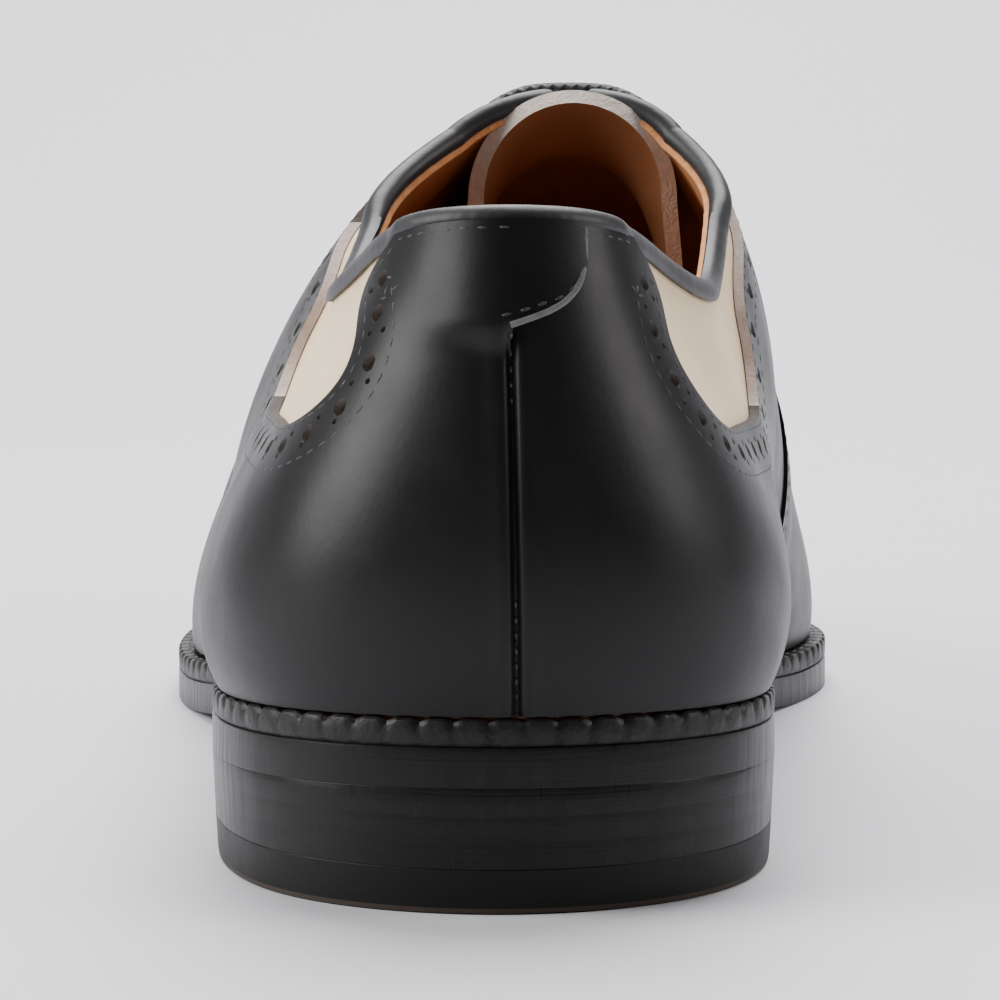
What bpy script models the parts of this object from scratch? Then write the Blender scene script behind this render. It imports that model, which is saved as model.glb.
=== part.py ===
"""Left shoe of a pair of black and cream spectator oxfords, built piece by piece.

The shoe stands on the floor with its toe along +Y, its sole down and its lateral side along -X.
The origin is on the floor under the middle of the heel. Tables and named sizes are in millimetres,
and MM turns them into the metres of the meshes.
"""

import math

import bmesh
import bpy
import numpy as np
from mathutils import Vector

MM = 0.001
OBJECT_NAME = "spectator_shoe"

# Gaps that touching pieces keep, and how far one leather lies over another
GAP = 0.3
OVERLAY_GAP = 0.45

# Thicknesses of the layers, from the floor up
TOP_PIECE = 5.5
OUTSOLE = 5.0
WELT = 3.0
INSOLE_ABOVE_WELT = 2.2
UPPER_WALL = 2.0
QUARTER_LEATHER = 1.2
VAMP_LEATHER = 1.5
CAP_LEATHER = 1.9
TAB_LEATHER = 0.9
TONGUE_LEATHER = 2.0

# Heel and the line of the sole's underside
HEEL_BACK_Y = -38.0
TOE_TIP_Y = 265.0
HEEL_BREAST_Y = 33.0
SEAT_BACK_Z = 15.3
SEAT_SLOPE = -0.04
TREAD_START_Y = 140.0
TREAD_END_Y = 172.0
TOE_SPRING = 11.0
HEEL_TAPER = 0.7

# The perimeter: where each section's lower edge meets the sole, on the lateral and medial side, and
# how far the welt stands out beyond the upper there
PLAN = [
    # name,          lateral x,      y, medial x,      y, welt
    ("heel_back",          0.0,  -38.0,      0.0,  -38.0,  2.0),
    ("heel_corner",      -25.5,  -27.0,     25.5,  -27.0,  2.0),
    ("heel_side",        -36.2,    0.0,     36.2,    0.0,  2.0),
    ("heel_breast",      -36.0,   32.0,     35.0,   32.0,  2.2),
    ("waist",            -35.0,   60.0,     33.0,   58.0,  2.4),
    ("shank",            -36.0,   82.0,     33.8,   79.0,  2.7),
    ("instep",           -39.0,  104.0,     38.8,  100.0,  3.1),
    ("joint_rear",       -45.6,  128.0,     49.5,  122.0,  3.7),
    ("ball",             -48.8,  155.0,     61.0,  149.0,  4.2),
    ("ball_front",       -45.6,  186.0,     62.0,  180.0,  4.4),
    ("cap_line",         -35.5,  217.0,     48.5,  216.0,  4.4),
    ("toe_corner",       -16.5,  249.0,     30.5,  251.0,  4.4),
    ("toe_tip",            9.0,  265.0,      9.0,  265.0,  4.4),
]

# The top edge of each section: the collar, then the facing edges, then the ridge of the vamp
TOP_LINE = [
    # name,         centre x,      y,     z, half width
    ("heel_back",        0.6,  -30.5,  81.5,   0.0),
    ("heel_corner",      0.9,  -24.5,  80.6,  10.8),
    ("heel_side",        1.8,   -8.0,  76.4,  18.2),
    ("heel_breast",      4.4,   17.0,  71.8,  25.0),
    ("waist",            8.6,   40.0,  81.8,  24.4),
    ("shank",           11.8,   57.0,  92.8,  16.2),
    ("instep",          13.2,   68.0,  98.0,   3.0),
    ("joint_rear",      12.5,  101.0,  86.5,   2.6),
    ("ball",            11.0,  137.0,  69.0,   0.0),
    ("ball_front",       9.5,  170.0,  54.0,   0.0),
    ("cap_line",         8.8,  201.0,  46.5,   0.0),
    ("toe_corner",       8.8,  226.0,  43.0,   0.0),
    ("toe_tip",          9.0,  236.0,  41.2,   0.0),
]

# The curve of each section's side, as the two handles between its lower and its upper end: how far
# the lower handle leans out and rises, and how far the upper one stands out and drops
SIDE_CURVE = [
    # name,        lateral out, medial out, rise, lateral in, medial in, drop
    ("heel_back",          6.0,        6.0, 18.0,        4.0,       4.0, 18.0),
    ("heel_corner",        7.5,        7.5, 18.0,        3.5,       3.5, 17.0),
    ("heel_side",          9.5,        9.5, 18.0,        3.0,       3.0, 17.0),
    ("heel_breast",        9.5,       11.5, 18.0,        6.0,       5.0, 17.0),
    ("waist",              9.0,       17.0, 21.0,       12.5,       5.0, 17.0),
    ("shank",              9.5,       21.0, 24.0,       19.5,      12.0, 13.0),
    ("instep",             7.0,       21.0, 26.0,       24.0,      24.0,  6.0),
    ("joint_rear",         4.0,       14.0, 26.0,       26.0,      27.0,  2.0),
    ("ball",               3.0,        4.5, 23.0,       27.0,      27.0,  0.0),
    ("ball_front",         2.5,        3.0, 18.0,       26.0,      26.0,  0.0),
    ("cap_line",           2.5,        2.5, 16.0,       22.0,      22.0,  0.0),
    ("toe_corner",         2.5,        2.5, 16.0,       15.0,      15.0,  0.0),
    ("toe_tip",            2.5,        2.5, 16.0,       14.0,      14.0,  0.0),
]

LAST_ROW = len(PLAN) - 1
RING = 2 * LAST_ROW
RIDGE_END_ROWS = 0.35
ROW = {row[0]: index for index, row in enumerate(PLAN)}


def ring_values(table, lateral_column, medial_column):
    """One column of a table run all the way round: lateral rows to the toe, medial rows back."""
    lateral = [row[lateral_column] for row in table]
    medial = [row[medial_column] for row in table]
    return np.array(lateral + medial[-2:0:-1], dtype=float)


def smooth_ring(values):
    """A closed cubic curve through the values, with no kink in slope or bend."""
    count = len(values)
    bends = np.zeros((count, count))
    for i in range(count):
        bends[i, i - 1] = 1.0
        bends[i, i] = 4.0
        bends[i, (i + 1) % count] = 1.0
    second = np.linalg.solve(bends, 6.0 * (np.roll(values, -1) - 2.0 * values + np.roll(values, 1)))

    def curve(u):
        low = int(math.floor(u)) % count
        high = (low + 1) % count
        f = u - math.floor(u)
        g = 1.0 - f
        bend = (g ** 3 - g) * second[low] + (f ** 3 - f) * second[high]
        return float(g * values[low] + f * values[high] + bend / 6.0)

    return curve


def steady_ring(values):
    """A closed cubic curve through the values that never swings past them."""
    steps = np.roll(values, -1) - values
    before = np.roll(steps, 1)
    same_way = steps * before > 0.0
    total = np.where(same_way, steps + before, 1.0)
    slopes = np.where(same_way, 2.0 * steps * before / total, 0.0)
    count = len(values)

    def curve(u):
        low = int(math.floor(u)) % count
        high = (low + 1) % count
        f = u - math.floor(u)
        ease = f * f * (3.0 - 2.0 * f)
        start = slopes[low] * f * (1.0 - f) ** 2
        end = slopes[high] * f * f * (1.0 - f)
        return float(values[low] + ease * (values[high] - values[low]) + start - end)

    return curve


edge_x = smooth_ring(ring_values(PLAN, 1, 3))
edge_y = smooth_ring(ring_values(PLAN, 2, 4))
welt_width = smooth_ring(ring_values(PLAN, 5, 5))
centre_x = smooth_ring(ring_values(TOP_LINE, 1, 1))
top_y = smooth_ring(ring_values(TOP_LINE, 2, 2))
top_z = smooth_ring(ring_values(TOP_LINE, 3, 3))
half_width = steady_ring(ring_values(TOP_LINE, 4, 4) * np.sign(np.arange(RING) - LAST_ROW + 0.5))
lower_out = smooth_ring(ring_values(SIDE_CURVE, 1, 2))
lower_rise = smooth_ring(ring_values(SIDE_CURVE, 3, 3))
upper_out = smooth_ring(ring_values(SIDE_CURVE, 4, 5))
upper_drop = smooth_ring(ring_values(SIDE_CURVE, 6, 6))


def sole_bottom(y):
    """Height of the outsole's underside: heel seat, waist, flat tread and toe spring."""
    if y <= HEEL_BREAST_Y:
        return SEAT_BACK_Z + SEAT_SLOPE * (y - HEEL_BACK_Y)
    if y < TREAD_START_Y:
        run = TREAD_START_Y - HEEL_BREAST_Y
        f = (y - HEEL_BREAST_Y) / run
        start = SEAT_BACK_Z + SEAT_SLOPE * (HEEL_BREAST_Y - HEEL_BACK_Y)
        lean = SEAT_SLOPE * run * f * (1.0 - f) ** 2
        return start * (1.0 - f * f * (3.0 - 2.0 * f)) + lean
    if y <= TREAD_END_Y:
        return 0.0
    return TOE_SPRING * ((y - TREAD_END_Y) / (TOE_TIP_Y - TREAD_END_Y)) ** 2


def welt_top(y):
    return sole_bottom(y) + OUTSOLE + WELT + 2.0 * GAP


def outward(u):
    """Level direction straight out from the sole's edge."""
    step = 0.01
    along = Vector((edge_x(u + step) - edge_x(u - step), edge_y(u + step) - edge_y(u - step), 0.0))
    return Vector((-along.y, along.x, 0.0)).normalized()


def edge_point(u, inset=0.0):
    out = outward(u)
    return edge_x(u) - inset * out.x, edge_y(u) - inset * out.y


def ridge_slope(u):
    """Rise of the top line for each millimetre forward, for the handles over the ridge."""
    step = 0.02
    if abs(u - LAST_ROW) < RIDGE_END_ROWS:
        u = LAST_ROW - RIDGE_END_ROWS
    forward = top_y(u + step) - top_y(u - step)
    return (top_z(u + step) - top_z(u - step)) / forward if abs(forward) > 1e-4 else 0.0


def upper_point(u, v):
    """A point of the upper's outer face: u runs round the perimeter, v from welt to top line."""
    out = outward(u)
    foot_x, foot_y = edge_point(u, welt_width(u))
    foot = Vector((foot_x, foot_y, welt_top(foot_y) + GAP))
    top = Vector((centre_x(u) + half_width(u), top_y(u), top_z(u)))
    row = u if u <= LAST_ROW else RING - u
    closed = min(1.0, max(0.0, row - ROW["shank"]))
    lean = closed * ridge_slope(u) * out.y
    low_handle = foot + lower_out(u) * out + Vector((0.0, 0.0, lower_rise(u)))
    high_handle = top + upper_out(u) * (out + Vector((0.0, 0.0, lean)))
    high_handle.z -= upper_drop(u)
    w = 1.0 - v
    return w ** 3 * foot + 3 * w * w * v * low_handle + 3 * w * v * v * high_handle + v ** 3 * top


# Grids and outlines

COLUMNS_PER_ROW = 4
UPPER_ROWS = 9
EDGE_STEPS_PER_ROW = 4
OVERLAY_START = 0.045
STATIONS = [18.0 * k - 20.0 for k in range(16)]


def new_object(name, mesh_builder, material, smooth=35.0):
    """A named object of the shoe from a bmesh in metres."""
    mesh = bpy.data.meshes.new(name)
    mesh_builder.to_mesh(mesh)
    mesh_builder.free()
    mesh.shade_smooth()
    mesh.set_sharp_from_angle(angle=math.radians(smooth))
    mesh.materials.append(material)
    item = bpy.data.objects.new(name, mesh)
    shoe.objects.link(item)
    return item


def mapped_grid(columns, rows, place):
    """A grid whose vertex (i, j) is moved to place(i, j), in millimetres, then welded."""
    bm = bmesh.new()
    bmesh.ops.create_grid(bm, x_segments=columns, y_segments=rows, size=1.0)
    for vert in bm.verts:
        i = round((vert.co.x + 1.0) / 2.0 * columns)
        j = round((vert.co.y + 1.0) / 2.0 * rows)
        vert.co = place(i, j) * MM
    bmesh.ops.remove_doubles(bm, verts=bm.verts, dist=0.02 * MM)
    bmesh.ops.recalc_face_normals(bm, faces=bm.faces)
    return bm


def face_outwards(bm, centre):
    """Turns an open skin so that its normals point away from a point inside the shoe."""
    bm.normal_update()
    votes = sum((face.calc_center_median() - centre).dot(face.normal) for face in bm.faces)
    if votes < 0.0:
        bmesh.ops.reverse_faces(bm, faces=bm.faces)
        bm.normal_update()


def skin(columns, rows, place, lift):
    """A skin on the upper's function, lifted off it along its own normals."""
    bm = mapped_grid(columns, rows, place)
    face_outwards(bm, Vector((0.005, 0.11, 0.03)))
    shifts = [(vert, vert.normal * lift * MM) for vert in bm.verts]
    for vert, shift in shifts:
        vert.co += shift
    return bm


def give_thickness(item, thickness, outwards, even=True):
    """Solidify in millimetres, away from the shoe or into it."""
    wall = item.modifiers.new("wall", "SOLIDIFY")
    wall.thickness = thickness * MM
    wall.offset = 1.0 if outwards else -1.0
    wall.use_even_offset = even
    wall.use_quality_normals = True
    wall.thickness_clamp = 1.0


def cut_by(item, cutter):
    cut = item.modifiers.new("cut", "BOOLEAN")
    cut.operation = "DIFFERENCE"
    cut.solver = "EXACT"
    cut.object = cutter


def make_cutter(name, bm):
    mesh = bpy.data.meshes.new(name)
    bmesh.ops.recalc_face_normals(bm, faces=bm.faces)
    bm.to_mesh(mesh)
    bm.free()
    cutter = bpy.data.objects.new(name, mesh)
    cutters.objects.link(cutter)
    cutter.hide_render = True
    cutter.display_type = "WIRE"
    return cutter


def material(name, colour, roughness, metallic=0.0):
    made = bpy.data.materials.new(name)
    made.use_nodes = True
    shader = made.node_tree.nodes["Principled BSDF"]
    shader.inputs["Base Color"].default_value = (*colour, 1.0)
    shader.inputs["Roughness"].default_value = roughness
    shader.inputs["Metallic"].default_value = metallic
    return made


# Sole, heel and insole

def slab(name, finish, inset_top, inset_bottom, top, bottom, y_end=None, extra_welt=False):
    """A layer with the sole's outline whose faces follow heights given along the shoe."""
    bm = bmesh.new()
    count = RING * EDGE_STEPS_PER_ROW
    rim = []
    for k in range(count):
        u = k / EDGE_STEPS_PER_ROW
        inset = inset_top + (welt_width(u) if extra_welt else 0.0)
        x, y = edge_point(u, inset)
        rim.append(bm.verts.new((x * MM, y * MM, 0.0)))
    bm.faces.new(rim)
    cuts = STATIONS + [TREAD_START_Y, TREAD_END_Y, HEEL_BREAST_Y]
    if y_end is not None:
        cuts = [y for y in cuts if y < y_end - 1.0]
    for y in cuts:
        everything = bm.verts[:] + bm.edges[:] + bm.faces[:]
        bmesh.ops.bisect_plane(bm, geom=everything, plane_co=(0.0, y * MM, 0.0), plane_no=(0.0, 1.0, 0.0))
    if y_end is not None:
        everything = bm.verts[:] + bm.edges[:] + bm.faces[:]
        bmesh.ops.bisect_plane(bm, geom=everything, plane_co=(0.0, y_end * MM, 0.0),
                               plane_no=(0.0, 1.0, 0.0), clear_outer=True)
    grown = bmesh.ops.extrude_face_region(bm, geom=bm.faces[:])
    upper_verts = {item for item in grown["geom"] if isinstance(item, bmesh.types.BMVert)}
    shrink = (inset_bottom - inset_top) / 36.0
    for vert in bm.verts:
        y = vert.co.y / MM
        if vert in upper_verts:
            vert.co.z = top(y) * MM
        else:
            vert.co.z = bottom(y) * MM
            vert.co.x *= 1.0 - shrink
            if y < 0.0:
                vert.co.y *= 1.0 - shrink
    bmesh.ops.recalc_face_normals(bm, faces=bm.faces)
    return new_object(name, bm, finish)


def seat_height(y):
    return SEAT_BACK_Z + SEAT_SLOPE * (y - HEEL_BACK_Y)


def welt_ring(name, finish):
    """The welt: a strip round the whole sole that the upper's wall stands on."""
    steps = EDGE_STEPS_PER_ROW
    inner_reach = 2.3

    def place(i, j):
        u = i / steps
        x, y = edge_point(u, (1 - j) * (welt_width(u) + inner_reach))
        return Vector((x, y, sole_bottom(y) + OUTSOLE + GAP))

    bm = mapped_grid(RING * steps, 1, place)
    for face in bm.faces:
        if face.normal.z < 0.0:
            face.normal_flip()
    grown = bmesh.ops.extrude_face_region(bm, geom=bm.faces[:])
    top_verts = [item for item in grown["geom"] if isinstance(item, bmesh.types.BMVert)]
    bmesh.ops.translate(bm, verts=top_verts, vec=(0.0, 0.0, WELT * MM))
    bmesh.ops.recalc_face_normals(bm, faces=bm.faces)
    return new_object(name, bm, finish)


def build_sole(leather_edge, rubber, insole_leather):
    slab("outsole", leather_edge, 0.0, 0.0, lambda y: sole_bottom(y) + OUTSOLE, sole_bottom)
    welt_ring("welt", leather_edge)
    slab("heel_lifts", leather_edge, 0.0, 0.5 * HEEL_TAPER, lambda y: seat_height(y) - GAP,
         lambda y: TOP_PIECE + GAP, y_end=HEEL_BREAST_Y)
    slab("heel_top_piece", rubber, 0.5 * HEEL_TAPER, HEEL_TAPER, lambda y: TOP_PIECE,
         lambda y: 0.0, y_end=HEEL_BREAST_Y)
    slab("insole", insole_leather, 2.7, 2.7, lambda y: welt_top(y) + INSOLE_ABOVE_WELT,
         lambda y: sole_bottom(y) + OUTSOLE + GAP, extra_welt=True)


# Upper and its overlays

# The U-shaped opening over the cream, from its rear end above the collar down and forward
WINDOW = [
    # lateral y,   z, medial y,    z
    (-17.5, 90.0, -15.0, 90.0),
    (-18.2, 77.0, -16.8, 77.0),
    (-20.8, 69.0, -18.6, 68.5),
    (-22.4, 62.0, -18.4, 61.7),
    (-13.0, 57.0, -11.5, 56.5),
    (3.0, 56.6, 4.0, 55.6),
    (19.0, 56.8, 19.0, 55.8),
    (29.5, 60.0, 27.5, 59.0),
    (34.0, 66.5, 32.0, 65.5),
    (39.5, 75.5, 37.5, 74.5),
    (48.0, 92.0, 46.0, 92.0),
]
WINDOW_STEPS_PER_ROW = 4
WINDOW_CLEAR_TOP_Z = 110.0
SEAM_ROW_TOP = ROW["ball"] + 0.06
SEAM_ROW_FOOT = ROW["instep"] + 0.3
SEAM_FAN = 8
BACK_SEAM_GAP = 0.006
SEAM_GAP = 0.014
CAP_ROW = ROW["cap_line"]
CAP_BOW = 0.156
CAP_BOW_POWER = 7
QUARTER_TOP_V = 0.98
TAB_WIDTH_ROWS = 0.62
TAB_LOW_V = 0.80


def vamp_seam(v):
    """Row of the seam between quarter and vamp: at the throat on top, swept back at the welt."""
    return SEAM_ROW_FOOT + (SEAM_ROW_TOP - SEAM_ROW_FOOT) * v * v * (3.0 - 2.0 * v)


def on_side(row, side):
    """Perimeter position of a row on the lateral (-1) or medial (+1) side."""
    return row if side < 0 else RING - row


def overlay_v(j, end=1.0):
    """Heights of an overlay's rows: the upper's own, but for the first and the last."""
    return min(end, max(OVERLAY_START, j / UPPER_ROWS))


def fanned_row(i, steady, fan, fan_end):
    """Rows in even steps as the upper's own columns have, then a fan that ends on a seam."""
    if i <= steady:
        return i / COLUMNS_PER_ROW
    start = steady / COLUMNS_PER_ROW
    return start + (fan_end - start) * (i - steady) / fan


def build_upper(finish):
    def place(i, j):
        return upper_point(i / COLUMNS_PER_ROW % RING, j / UPPER_ROWS)

    item = new_object("upper", skin(RING * COLUMNS_PER_ROW, UPPER_ROWS, place, 0.0), finish)
    give_thickness(item, UPPER_WALL, outwards=False)
    return item


def window_cutter(side, name):
    """A U-shaped block that opens the quarter over the cream, from the ankle up past the collar."""
    bm = bmesh.new()
    first = 0 if side < 0 else 2
    y_at = smooth_ring(np.array([row[first] for row in WINDOW]))
    z_at = smooth_ring(np.array([row[first + 1] for row in WINDOW]))
    last = len(WINDOW) - 1
    steps = [k / WINDOW_STEPS_PER_ROW for k in range(last * WINDOW_STEPS_PER_ROW + 1)]
    outline = [(y_at(step), z_at(step)) for step in steps]
    outline += [(outline[-1][0], WINDOW_CLEAR_TOP_Z), (outline[0][0], WINDOW_CLEAR_TOP_Z)]
    face = bm.faces.new([bm.verts.new((side * 3.0 * MM, y * MM, z * MM)) for y, z in outline])
    grown = bmesh.ops.extrude_face_region(bm, geom=[face])
    far = [item for item in grown["geom"] if isinstance(item, bmesh.types.BMVert)]
    bmesh.ops.translate(bm, verts=far, vec=(side * 60.0 * MM, 0.0, 0.0))
    return make_cutter(name, bm)


def build_quarter(side, name, finish, holes):
    steady = ROW["instep"] * COLUMNS_PER_ROW

    def place(i, j):
        v = overlay_v(j, QUARTER_TOP_V)
        row = fanned_row(i, steady, SEAM_FAN, vamp_seam(v) - SEAM_GAP)
        return upper_point(on_side(max(row, BACK_SEAM_GAP), side), v)

    item = new_object(name, skin(steady + SEAM_FAN, UPPER_ROWS, place, OVERLAY_GAP), finish)
    give_thickness(item, QUARTER_LEATHER, outwards=True)
    cut_by(item, window_cutter(side, name + "_window"))
    cut_by(item, holes)
    return item


def strip_over_ridge(name, columns, row_at, leather, finish):
    """An overlay from welt to welt over the vamp's ridge; row_at(i, v) gives its columns."""
    across = 2 * UPPER_ROWS

    def place(i, j):
        v = overlay_v(UPPER_ROWS - abs(j - UPPER_ROWS))
        side = -1 if j <= UPPER_ROWS else 1
        return upper_point(on_side(row_at(i, v), side), v)

    item = new_object(name, skin(columns, across, place, OVERLAY_GAP), finish)
    give_thickness(item, leather, outwards=True, even=False)
    return item


def cap_seam(v):
    """Row of the toe cap's rear edge, bowed forward at the ridge so that it crosses without a corner."""
    return CAP_ROW + CAP_BOW * v ** CAP_BOW_POWER


def vamp_row(i, v):
    """Vamp columns: a fan from the quarter's seam to the ball, then even steps to the cap."""
    start = vamp_seam(v) + SEAM_GAP
    ball = ROW["ball_front"]
    if i <= SEAM_FAN:
        return start + (ball - start) * i / SEAM_FAN
    return ball + (cap_seam(v) - SEAM_GAP - ball) * (i - SEAM_FAN) / COLUMNS_PER_ROW


def cap_row(i, v):
    """Cap columns: even steps from the seam to the toe corner, then the upper's own columns."""
    start = cap_seam(v) + SEAM_GAP
    if i >= COLUMNS_PER_ROW:
        return CAP_ROW + i / COLUMNS_PER_ROW
    return start + (CAP_ROW + 1.0 - start) * i / COLUMNS_PER_ROW


def build_back_tab(finish):
    """The top of the lateral quarter that laps over the back seam on to the medial one."""
    columns = 5
    rows = 6

    def place(i, j):
        f = i / columns
        low = TAB_LOW_V + 0.07 * f ** 3
        row = TAB_WIDTH_ROWS * f
        return upper_point(on_side(row, 1) % RING, low + (QUARTER_TOP_V - low) * j / rows)

    lift = OVERLAY_GAP + QUARTER_LEATHER + OVERLAY_GAP
    item = new_object("back_tab", skin(columns, rows, place, lift), finish)
    give_thickness(item, TAB_LEATHER, outwards=True)
    return item


# Binding, tongue and lace

BINDING_RADIUS = 1.3
BINDING_END_ROW = ROW["instep"] - 0.16
LACE_RADIUS = 1.1
EYELET_RADIUS = 1.9
EYELET_SETBACK = 8.0
EYELET_ROWS = [6.12, 6.52, 6.92, 7.32, 7.7]
LACE_OVER = OVERLAY_GAP + QUARTER_LEATHER + GAP + LACE_RADIUS
LACE_UNDER = -(UPPER_WALL + GAP + LACE_RADIUS + 0.1)
TONGUE_DEPTH = 5.1
TONGUE_REACH = 21.0
TONGUE_FIRST_ROW = 7.8
TONGUE_LAST_ROW = 6.06
TONGUE_BEYOND = 5.0
TONGUE_CURL = 3.0


def skin_normal(u, v):
    step = 0.01
    v = min(v, 1.0 - step)
    along = upper_point(u + step, v) - upper_point(u - step, v)
    up = upper_point(u, v + step) - upper_point(u, v - step)
    return up.cross(along).normalized()


def below_edge(u, distance):
    """How far down the column, as v, a point lies that is this far from the top edge."""
    v = 1.0
    travelled = 0.0
    step = 0.01
    while travelled < distance:
        travelled += (upper_point(u, v) - upper_point(u, v - step)).length
        v -= step
    return v


def tube(name, points, radius, finish):
    curve = bpy.data.curves.new(name, "CURVE")
    curve.dimensions = "3D"
    curve.bevel_depth = radius * MM
    curve.bevel_resolution = 2
    curve.use_fill_caps = True
    line = curve.splines.new("POLY")
    line.points.add(len(points) - 1)
    for spot, point in zip(line.points, points):
        spot.co = (*(point * MM), 1.0)
    curve.materials.append(finish)
    item = bpy.data.objects.new(name, curve)
    shoe.objects.link(item)
    return item


def off_the_edge(u):
    """Direction in the leather's own plane, square to its top edge and away from it."""
    step = 0.02
    along = upper_point(u + step, 1.0) - upper_point(u - step, 1.0)
    square = along.cross(skin_normal(u, 0.99)).normalized()
    return square if square.dot(upper_point(u, 1.0) - upper_point(u, 0.95)) > 0.0 else -square


def build_binding(finish):
    """The rolled strip along the collar, from one facing top round the heel to the other."""
    whole = int(BINDING_END_ROW * COLUMNS_PER_ROW)
    rows = [k / COLUMNS_PER_ROW for k in range(whole + 1)] + [BINDING_END_ROW]
    points = []
    for u in rows[::-1] + [RING - row for row in rows[1:]]:
        lift = off_the_edge(u) * (2.0 * GAP + BINDING_RADIUS) - 0.2 * skin_normal(u, 0.99)
        points.append(upper_point(u, 1.0) + lift)
    return tube("collar_binding", points, BINDING_RADIUS, finish)


def eyelet_spots():
    """Perimeter place and height of the eyelets, from the collar down, lateral then medial."""
    return [[(on_side(row, side), below_edge(on_side(row, side), EYELET_SETBACK)) for side in (-1, 1)]
            for row in EYELET_ROWS]


def lifted(u, v, lift):
    return upper_point(u, v) + skin_normal(u, v) * lift


def build_eyelet_cutter():
    bm = bmesh.new()
    for pair in eyelet_spots():
        for u, v in pair:
            normal = skin_normal(u, v)
            turn = normal.to_track_quat("Z", "Y").to_matrix().to_4x4()
            turn.translation = upper_point(u, v) * MM
            bmesh.ops.create_cone(bm, cap_ends=True, segments=10, radius1=EYELET_RADIUS * MM,
                                  radius2=EYELET_RADIUS * MM, depth=9.0 * MM, matrix=turn)
    return make_cutter("eyelet_holes", bm)


def build_lace(finish):
    """Straight bars over the facings, joined by runs under them between the eyelets."""
    points = []
    for index, pair in enumerate(eyelet_spots()):
        order = pair if index % 2 == 0 else pair[::-1]
        (u_in, v_in), (u_out, v_out) = order
        points.append(lifted(u_in, v_in, LACE_UNDER))
        points.append(lifted(u_in, v_in, LACE_OVER))
        points.append(lifted(u_in, 0.5 + 0.5 * v_in, LACE_OVER + 0.25))
        points.append(lifted(u_in, 0.99, LACE_OVER + 0.1))
        points.append(lifted(u_out, 0.99, LACE_OVER + 0.1))
        points.append(lifted(u_out, 0.5 + 0.5 * v_out, LACE_OVER + 0.25))
        points.append(lifted(u_out, v_out, LACE_OVER))
        points.append(lifted(u_out, v_out, LACE_UNDER))
    return tube("lace", points, LACE_RADIUS, finish)


def build_tongue(finish):
    """The sheet under the facings, arched over the instep, its end curling up in the collar."""
    half = 7
    lengthwise = 9
    beyond = 3

    def place(i, j):
        side = -1 if j <= half else 1
        across = abs(j - half - 0.5) - 0.5
        distance = TONGUE_REACH * across / half
        row = TONGUE_FIRST_ROW + (TONGUE_LAST_ROW - TONGUE_FIRST_ROW) * min(1.0, i / lengthwise)
        u = on_side(row, side)
        point = upper_point(u, below_edge(u, distance) if distance > 0.0 else 1.0)
        past = max(0, i - lengthwise) / beyond
        point.y -= TONGUE_BEYOND * past
        point.z += TONGUE_CURL * past * (1.0 - (across / half) ** 2)
        return point

    bm = skin(lengthwise + beyond, 2 * half + 1, place, -TONGUE_DEPTH)
    item = new_object("tongue", bm, finish)
    give_thickness(item, TONGUE_LEATHER, outwards=False)
    return item


# Assembly

for old in list(bpy.data.objects):
    bpy.data.objects.remove(old)
shoe = bpy.data.collections.new(OBJECT_NAME)
cutters = bpy.data.collections.new("cutters")
bpy.context.scene.collection.children.link(shoe)
bpy.context.scene.collection.children.link(cutters)

black_calf = material("black_calf", (0.012, 0.012, 0.014), 0.32)
cream_calf = material("cream_calf", (0.80, 0.71, 0.56), 0.45)
binding_calf = material("binding_calf", (0.035, 0.035, 0.042), 0.42)
black_edge = material("black_edge", (0.010, 0.010, 0.011), 0.28)
black_rubber = material("black_rubber", (0.015, 0.014, 0.014), 0.50)
tan_lining = material("tan_lining", (0.52, 0.20, 0.06), 0.60)
tongue_suede = material("tongue_suede", (0.30, 0.26, 0.22), 0.85)
lace_cotton = material("lace_cotton", (0.015, 0.015, 0.018), 0.70)

build_sole(black_edge, black_rubber, tan_lining)
eyelet_holes = build_eyelet_cutter()
cut_by(build_upper(cream_calf), eyelet_holes)
build_quarter(-1, "quarter_lateral", black_calf, eyelet_holes)
build_quarter(1, "quarter_medial", black_calf, eyelet_holes)
build_back_tab(black_calf)
vamp_columns = SEAM_FAN + (CAP_ROW - ROW["ball_front"]) * COLUMNS_PER_ROW
cap_columns = (LAST_ROW - CAP_ROW) * COLUMNS_PER_ROW
strip_over_ridge("vamp", vamp_columns, vamp_row, VAMP_LEATHER, black_calf)
strip_over_ridge("toe_cap", cap_columns, cap_row, CAP_LEATHER, black_calf)
build_binding(binding_calf)
build_tongue(tongue_suede)
build_lace(lace_cotton)
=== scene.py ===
# %% [markdown]
# # A black and cream spectator oxford, seen from behind
#
# The shoe is a left one. Every piece below is shaped on one surface, the outer face of the last,
# which is repeated here from the solid part so that leather, thread and holes all lie on it.

# %% Tools and the fixed frame
import math

import bmesh
import bpy
import numpy as np
from mathutils import Matrix, Vector
from mathutils.bvhtree import BVHTree


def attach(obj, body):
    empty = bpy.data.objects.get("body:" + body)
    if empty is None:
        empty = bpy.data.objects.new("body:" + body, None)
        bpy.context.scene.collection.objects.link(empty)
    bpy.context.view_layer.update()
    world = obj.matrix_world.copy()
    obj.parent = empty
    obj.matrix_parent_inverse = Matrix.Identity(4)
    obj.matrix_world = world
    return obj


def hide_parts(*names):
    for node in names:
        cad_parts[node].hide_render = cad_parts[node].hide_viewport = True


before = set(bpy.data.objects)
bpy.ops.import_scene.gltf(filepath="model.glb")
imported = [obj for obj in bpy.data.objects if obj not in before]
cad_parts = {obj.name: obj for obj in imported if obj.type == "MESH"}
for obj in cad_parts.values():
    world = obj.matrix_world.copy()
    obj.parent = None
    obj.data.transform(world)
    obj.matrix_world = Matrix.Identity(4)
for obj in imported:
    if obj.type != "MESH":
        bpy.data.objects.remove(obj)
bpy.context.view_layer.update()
MM = 0.001
print("solids:", ", ".join(sorted(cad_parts)))

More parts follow.
